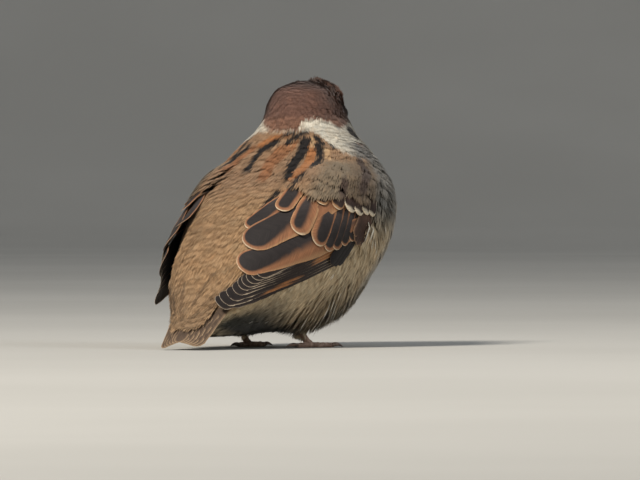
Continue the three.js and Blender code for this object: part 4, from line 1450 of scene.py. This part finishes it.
# Each covert: root place, tip place, half width, height, rims.
GREATER = [
    ((9.1, 79), (10.2, 83), 2.0, 1.55, (0.25, 0.6, 0.2)),
    ((9.0, 75), (10.4, 79.5), 2.2, 1.65, (0.6, 0.7, 0.25)),
    ((8.9, 70), (10.6, 76), 2.4, 1.75, (0.95, 0.9, 0.35)),
    ((8.8, 65), (10.7, 71.5), 2.7, 1.85, (1.1, 1.1, 0.4)),
    ((8.7, 57), (10.55, 62.5), 3.4, 2.05, (0.8, 1.3, 1.8)),
    ((8.5, 44), (10.25, 47), 3.5, 2.4, (2.5, 1.3, 1.0)),
    ((8.0, 32), (9.45, 30), 3.0, 2.6, (1.2, 1.2, 0.9)),
]
OUTER_MEDIANS = [
    ((8.3, 86), (9.12, 87), 2.4, 2.15, (0.2, 1.4, 0.2)),
    ((8.3, 81.5), (9.09, 82.5), 2.5, 2.2, (0.2, 1.7, 0.2)),
    ((8.3, 76.5), (9.16, 77.5), 2.5, 2.25, (0.2, 1.5, 0.2)),
    ((8.3, 70), (9.1, 71), 2.5, 2.3, (0.2, 1.6, 0.2)),
]
INNER_MEDIANS = [
    ((8.3, 61), (9.08, 62), 2.3, 2.35, (0.3, 1.2, 0.3)),
    ((8.3, 50), (9.0, 51), 2.2, 2.5, (0.5, 1.0, 0.5)),
]
HAND_COVERTS = [
    ((9.6, 85.5), (11.15, 86), 1.8, 1.0, (0.25, 0.3, 0.25)),
    ((9.4, 83), (11.2, 83.5), 1.9, 1.15, (0.25, 0.3, 0.25)),
    ((9.4, 80), (11.15, 80.5), 2.0, 1.35, (0.25, 0.3, 0.25)),
]
OUTER_COVERTS = [
    ((8.75, 89), (10.3, 89.5), 1.5, 1.7, (0.4, 0.4, 0.5)),
    ((8.7, 86.5), (10.3, 87.2), 1.5, 1.8, (0.4, 0.4, 0.5)),
    ((8.65, 84), (10.2, 85), 1.5, 1.9, (0.4, 0.4, 0.5)),
    ((8.6, 81.8), (10.0, 82.8), 1.5, 2.0, (0.4, 0.4, 0.5)),
]
# The sets of coverts, from the lowest laid: first seed, dip of the roots, colours, feathers.
COVERTS = [
    (10, 0.4, DARK_SET, HAND_COVERTS),
    (20, 0.6, CHESTNUT_SET, OUTER_COVERTS),
    (30, 0.7, CENTRE_SET, GREATER),
    (40, 0.6, MEDIAN_SET, OUTER_MEDIANS),
    (44, 0.6, INNER_MEDIAN_SET, INNER_MEDIANS),
]
# Each flight feather: place of the lower edge at the root and at the tip, half width, height, and where its
# rim is wider and warmer: from and to in shares of the length, and by how much.
SECONDARIES = [
    ((10.3, 77), (12.3, 45), 2.6, 1.3, None),
    ((10.4, 79.5), (12.45, 43), 2.6, 1.2, None),
    ((10.5, 81.5), (12.65, 42), 2.6, 1.1, None),
    ((10.6, 83), (12.85, 41), 2.6, 1.0, (0.05, 0.28, 0.3)),
    ((10.7, 85), (13.05, 40), 2.6, 0.9, (0.05, 0.26, 0.5)),
]
PRIMARIES = [
    ((10.8, 86.5), (13.35, 39), 2.4, 0.8, None),
    ((10.9, 88), (13.75, 39), 2.3, 0.7, (0.36, 0.52, 0.3)),
    ((11.0, 89), (14.15, 38), 2.2, 0.6, (0.4, 0.6, 0.35)),
    ((11.1, 90), (14.5, 38.5), 2.0, 0.5, None),
]
# The left wing hangs a little lower than the right one: its feathers' roots and tips lie further from the
# middle of the back, the tips of the upper feathers most, and its tips stand off the body.
LEFT_ROOTS_LOWER, LEFT_TIPS_LOWER, WING_LOW_SIDE = 3.0, 15.0, 95.0
LEFT_LIFT, LEFT_COVERT_LIFT, LEFT_TIPS_SHORTER = 2.6, 0.9, 0.75
LEFT_SEEDS = 50  # how much the seeds of the left wing's feathers differ
FLIGHT_RIMS, FLIGHT_DIP, TERTIAL_DIP = (0.5, 0.5, 0.3), 0.6, 0.3


def wing_pieces(word, mirror):
    change = LEFT_SEEDS if mirror else 0

    def placed(root, tip, ahead=0.0, lift=LEFT_LIFT):
        if not mirror:
            return wing_place((root, tip), ahead)
        root = (root[0], root[1] + LEFT_ROOTS_LOWER)
        tip = (tip[0], tip[1] + LEFT_TIPS_LOWER * (1 - tip[1] / WING_LOW_SIDE))
        if ahead:
            tip = (tip[0] - LEFT_TIPS_SHORTER, tip[1])
        return wing_place((root, tip), ahead, lift, LEFT_WING_SUNK)

    coverts, tertials, flight = [], [], []
    for first, dip, colours, feathers in COVERTS:
        for k, (root, tip, half, height, rims) in enumerate(feathers):
            place = placed(root, tip, 0.0, LEFT_COVERT_LIFT)
            coverts.append(make_vane(place, half, height, dip, rims, colours, first + k + change))
    for k, (root, tip, half, height, rims, swell, bow) in enumerate(TERTIALS):
        tertials.append(make_vane(placed(root, tip), half, height, TERTIAL_DIP, rims, CENTRE_SET,
                                  50 + k + change, bow=bow, swell=swell))
    for k, (root, tip, half, height, panel) in enumerate(PRIMARIES[::-1] + SECONDARIES[::-1]):
        flight.append(make_vane(placed(root, tip, half), half, height, FLIGHT_DIP, FLIGHT_RIMS, FLIGHT_SET,
                                60 + k + change, tip_round=1.5, panel=panel, camber=0.0, shaft_rise=0.0))
    lay_vanes(f"wing_coverts_{word}", coverts, [f"wing_{word}_coverts"], mirror)
    lay_vanes(f"tertials_{word}", tertials, [f"wing_{word}_tertials"], mirror)
    lay_vanes(f"flight_feathers_{word}", flight, [f"wing_{word}_flight_feathers"], mirror)


wing_pieces("right", False)
wing_pieces("left", True)

TAIL_SET, TAIL_RIMS = (TAIL_BROWN, TAIL_RIM, TAIL_EDGE, TAIL_EDGE), (0.6, 0.5, 0.6)
TAIL_LENGTH, TAIL_HALF_FEATHER = 49.4, 2.5

tail_vanes = []
for k in range(5, -1, -1):  # from the outermost pair to the middle one, which lies on top
    for side in (-1, 1):
        place = tail_place(side * (0.5 + 2.3 * k), side * (0.5 + 1.04 * k), TAIL_LENGTH + 0.22 * k)
        height = 0.5 - 0.1 * k + 0.04 * side
        tail_vanes.append(make_vane(place, TAIL_HALF_FEATHER, height, 0.0, TAIL_RIMS, TAIL_SET,
                                    200 + 2 * k + side, tip_round=1.2, camber=0.15))
lay_vanes("tail_feathers", tail_vanes, ["tail"])

# ---- Floor, light and camera -------------------------------------------------------------------------

# A round floor that curves up into a wall: sizes in metres.
MIDDLE_RADIUS, FLAT_RADIUS, CURVE_RADIUS, WALL_HEIGHT = 1.2, 3.4, 1.6, 4.0
CURVE_STEPS, ROUND_STEPS = 12, 72

bm = bmesh.new()
profile = [bm.verts.new((r, 0, 0)) for r in (0.0, MIDDLE_RADIUS, FLAT_RADIUS)]
for k in range(1, CURVE_STEPS + 1):
    angle = k / CURVE_STEPS * math.pi / 2
    across, up = FLAT_RADIUS + CURVE_RADIUS * math.sin(angle), CURVE_RADIUS * (1 - math.cos(angle))
    profile.append(bm.verts.new((across, 0, up)))
profile.append(bm.verts.new((FLAT_RADIUS + CURVE_RADIUS, 0, WALL_HEIGHT)))
edges = [bm.edges.new(pair) for pair in zip(profile, profile[1:])]
bmesh.ops.spin(bm, geom=profile + edges, axis=(0, 0, 1), cent=(0, 0, 0), steps=ROUND_STEPS,
               angle=math.tau, use_merge=True)
bmesh.ops.remove_doubles(bm, verts=bm.verts, dist=1e-5)
bmesh.ops.recalc_face_normals(bm, faces=bm.faces)
bmesh.ops.reverse_faces(bm, faces=bm.faces)
mesh = mesh_from(bm, "studio_floor")
smooth_faces(mesh)
floor = to_scene("studio_floor", mesh, stage_finish())

TARGET = Vector((-0.0115, -0.0184, 0.0357))
TO_CAMERA = Vector((-0.5736, 0.8192, 0.009)).normalized()
CAMERA_LEFT = Vector((0.8192, 0.5736, 0.0))
CAMERA_DISTANCE, LENS = 3.2, 540.0


def aimed(name, data, way, distance):
    """Puts a camera or a lamp at a distance from the bird, turned to it."""
    made = to_scene(name, data)
    made.location = TARGET + way.normalized() * distance
    made.rotation_mode = "QUATERNION"
    made.rotation_quaternion = way.to_track_quat("Z", "Y")
    return made


camera = aimed("camera", bpy.data.cameras.new("camera"), TO_CAMERA, CAMERA_DISTANCE)
camera.data.lens, camera.data.sensor_width = LENS, 36.0
camera.data.clip_start, camera.data.clip_end = 0.05, 50.0
bpy.context.scene.camera = camera

LIGHT_DISTANCE = 3.0
LIGHT_SPREAD = math.radians(100)  # keeps the light off the backdrop beside the lamps


def area_light(name, way, size, power, colour):
    lamp = bpy.data.lights.new(name, "AREA")
    lamp.shape, lamp.size, lamp.energy, lamp.color = "DISK", size, power, colour
    lamp.spread = LIGHT_SPREAD
    aimed(name, lamp, way, LIGHT_DISTANCE).visible_camera = False


UP = Vector((0, 0, 1))
KEY_WAY = CAMERA_LEFT * 0.66 + TO_CAMERA * 0.9 + UP * 0.95
FILL_WAY = CAMERA_LEFT * -0.8 + TO_CAMERA * 0.5 + UP * 0.5
area_light("key", KEY_WAY, size=0.7, power=28.5, colour=(1.0, 0.94, 0.86))
area_light("fill", FILL_WAY, size=1.6, power=5.0, colour=(0.86, 0.92, 1.0))

world = bpy.data.worlds.new("studio")
world.use_nodes = True
sky = world.node_tree.nodes["Background"]
sky.inputs["Color"].default_value = (0.86, 0.91, 1.0, 1.0)
sky.inputs["Strength"].default_value = 0.35
bpy.context.scene.world = world
bpy.context.scene.view_settings.view_transform = "Standard"
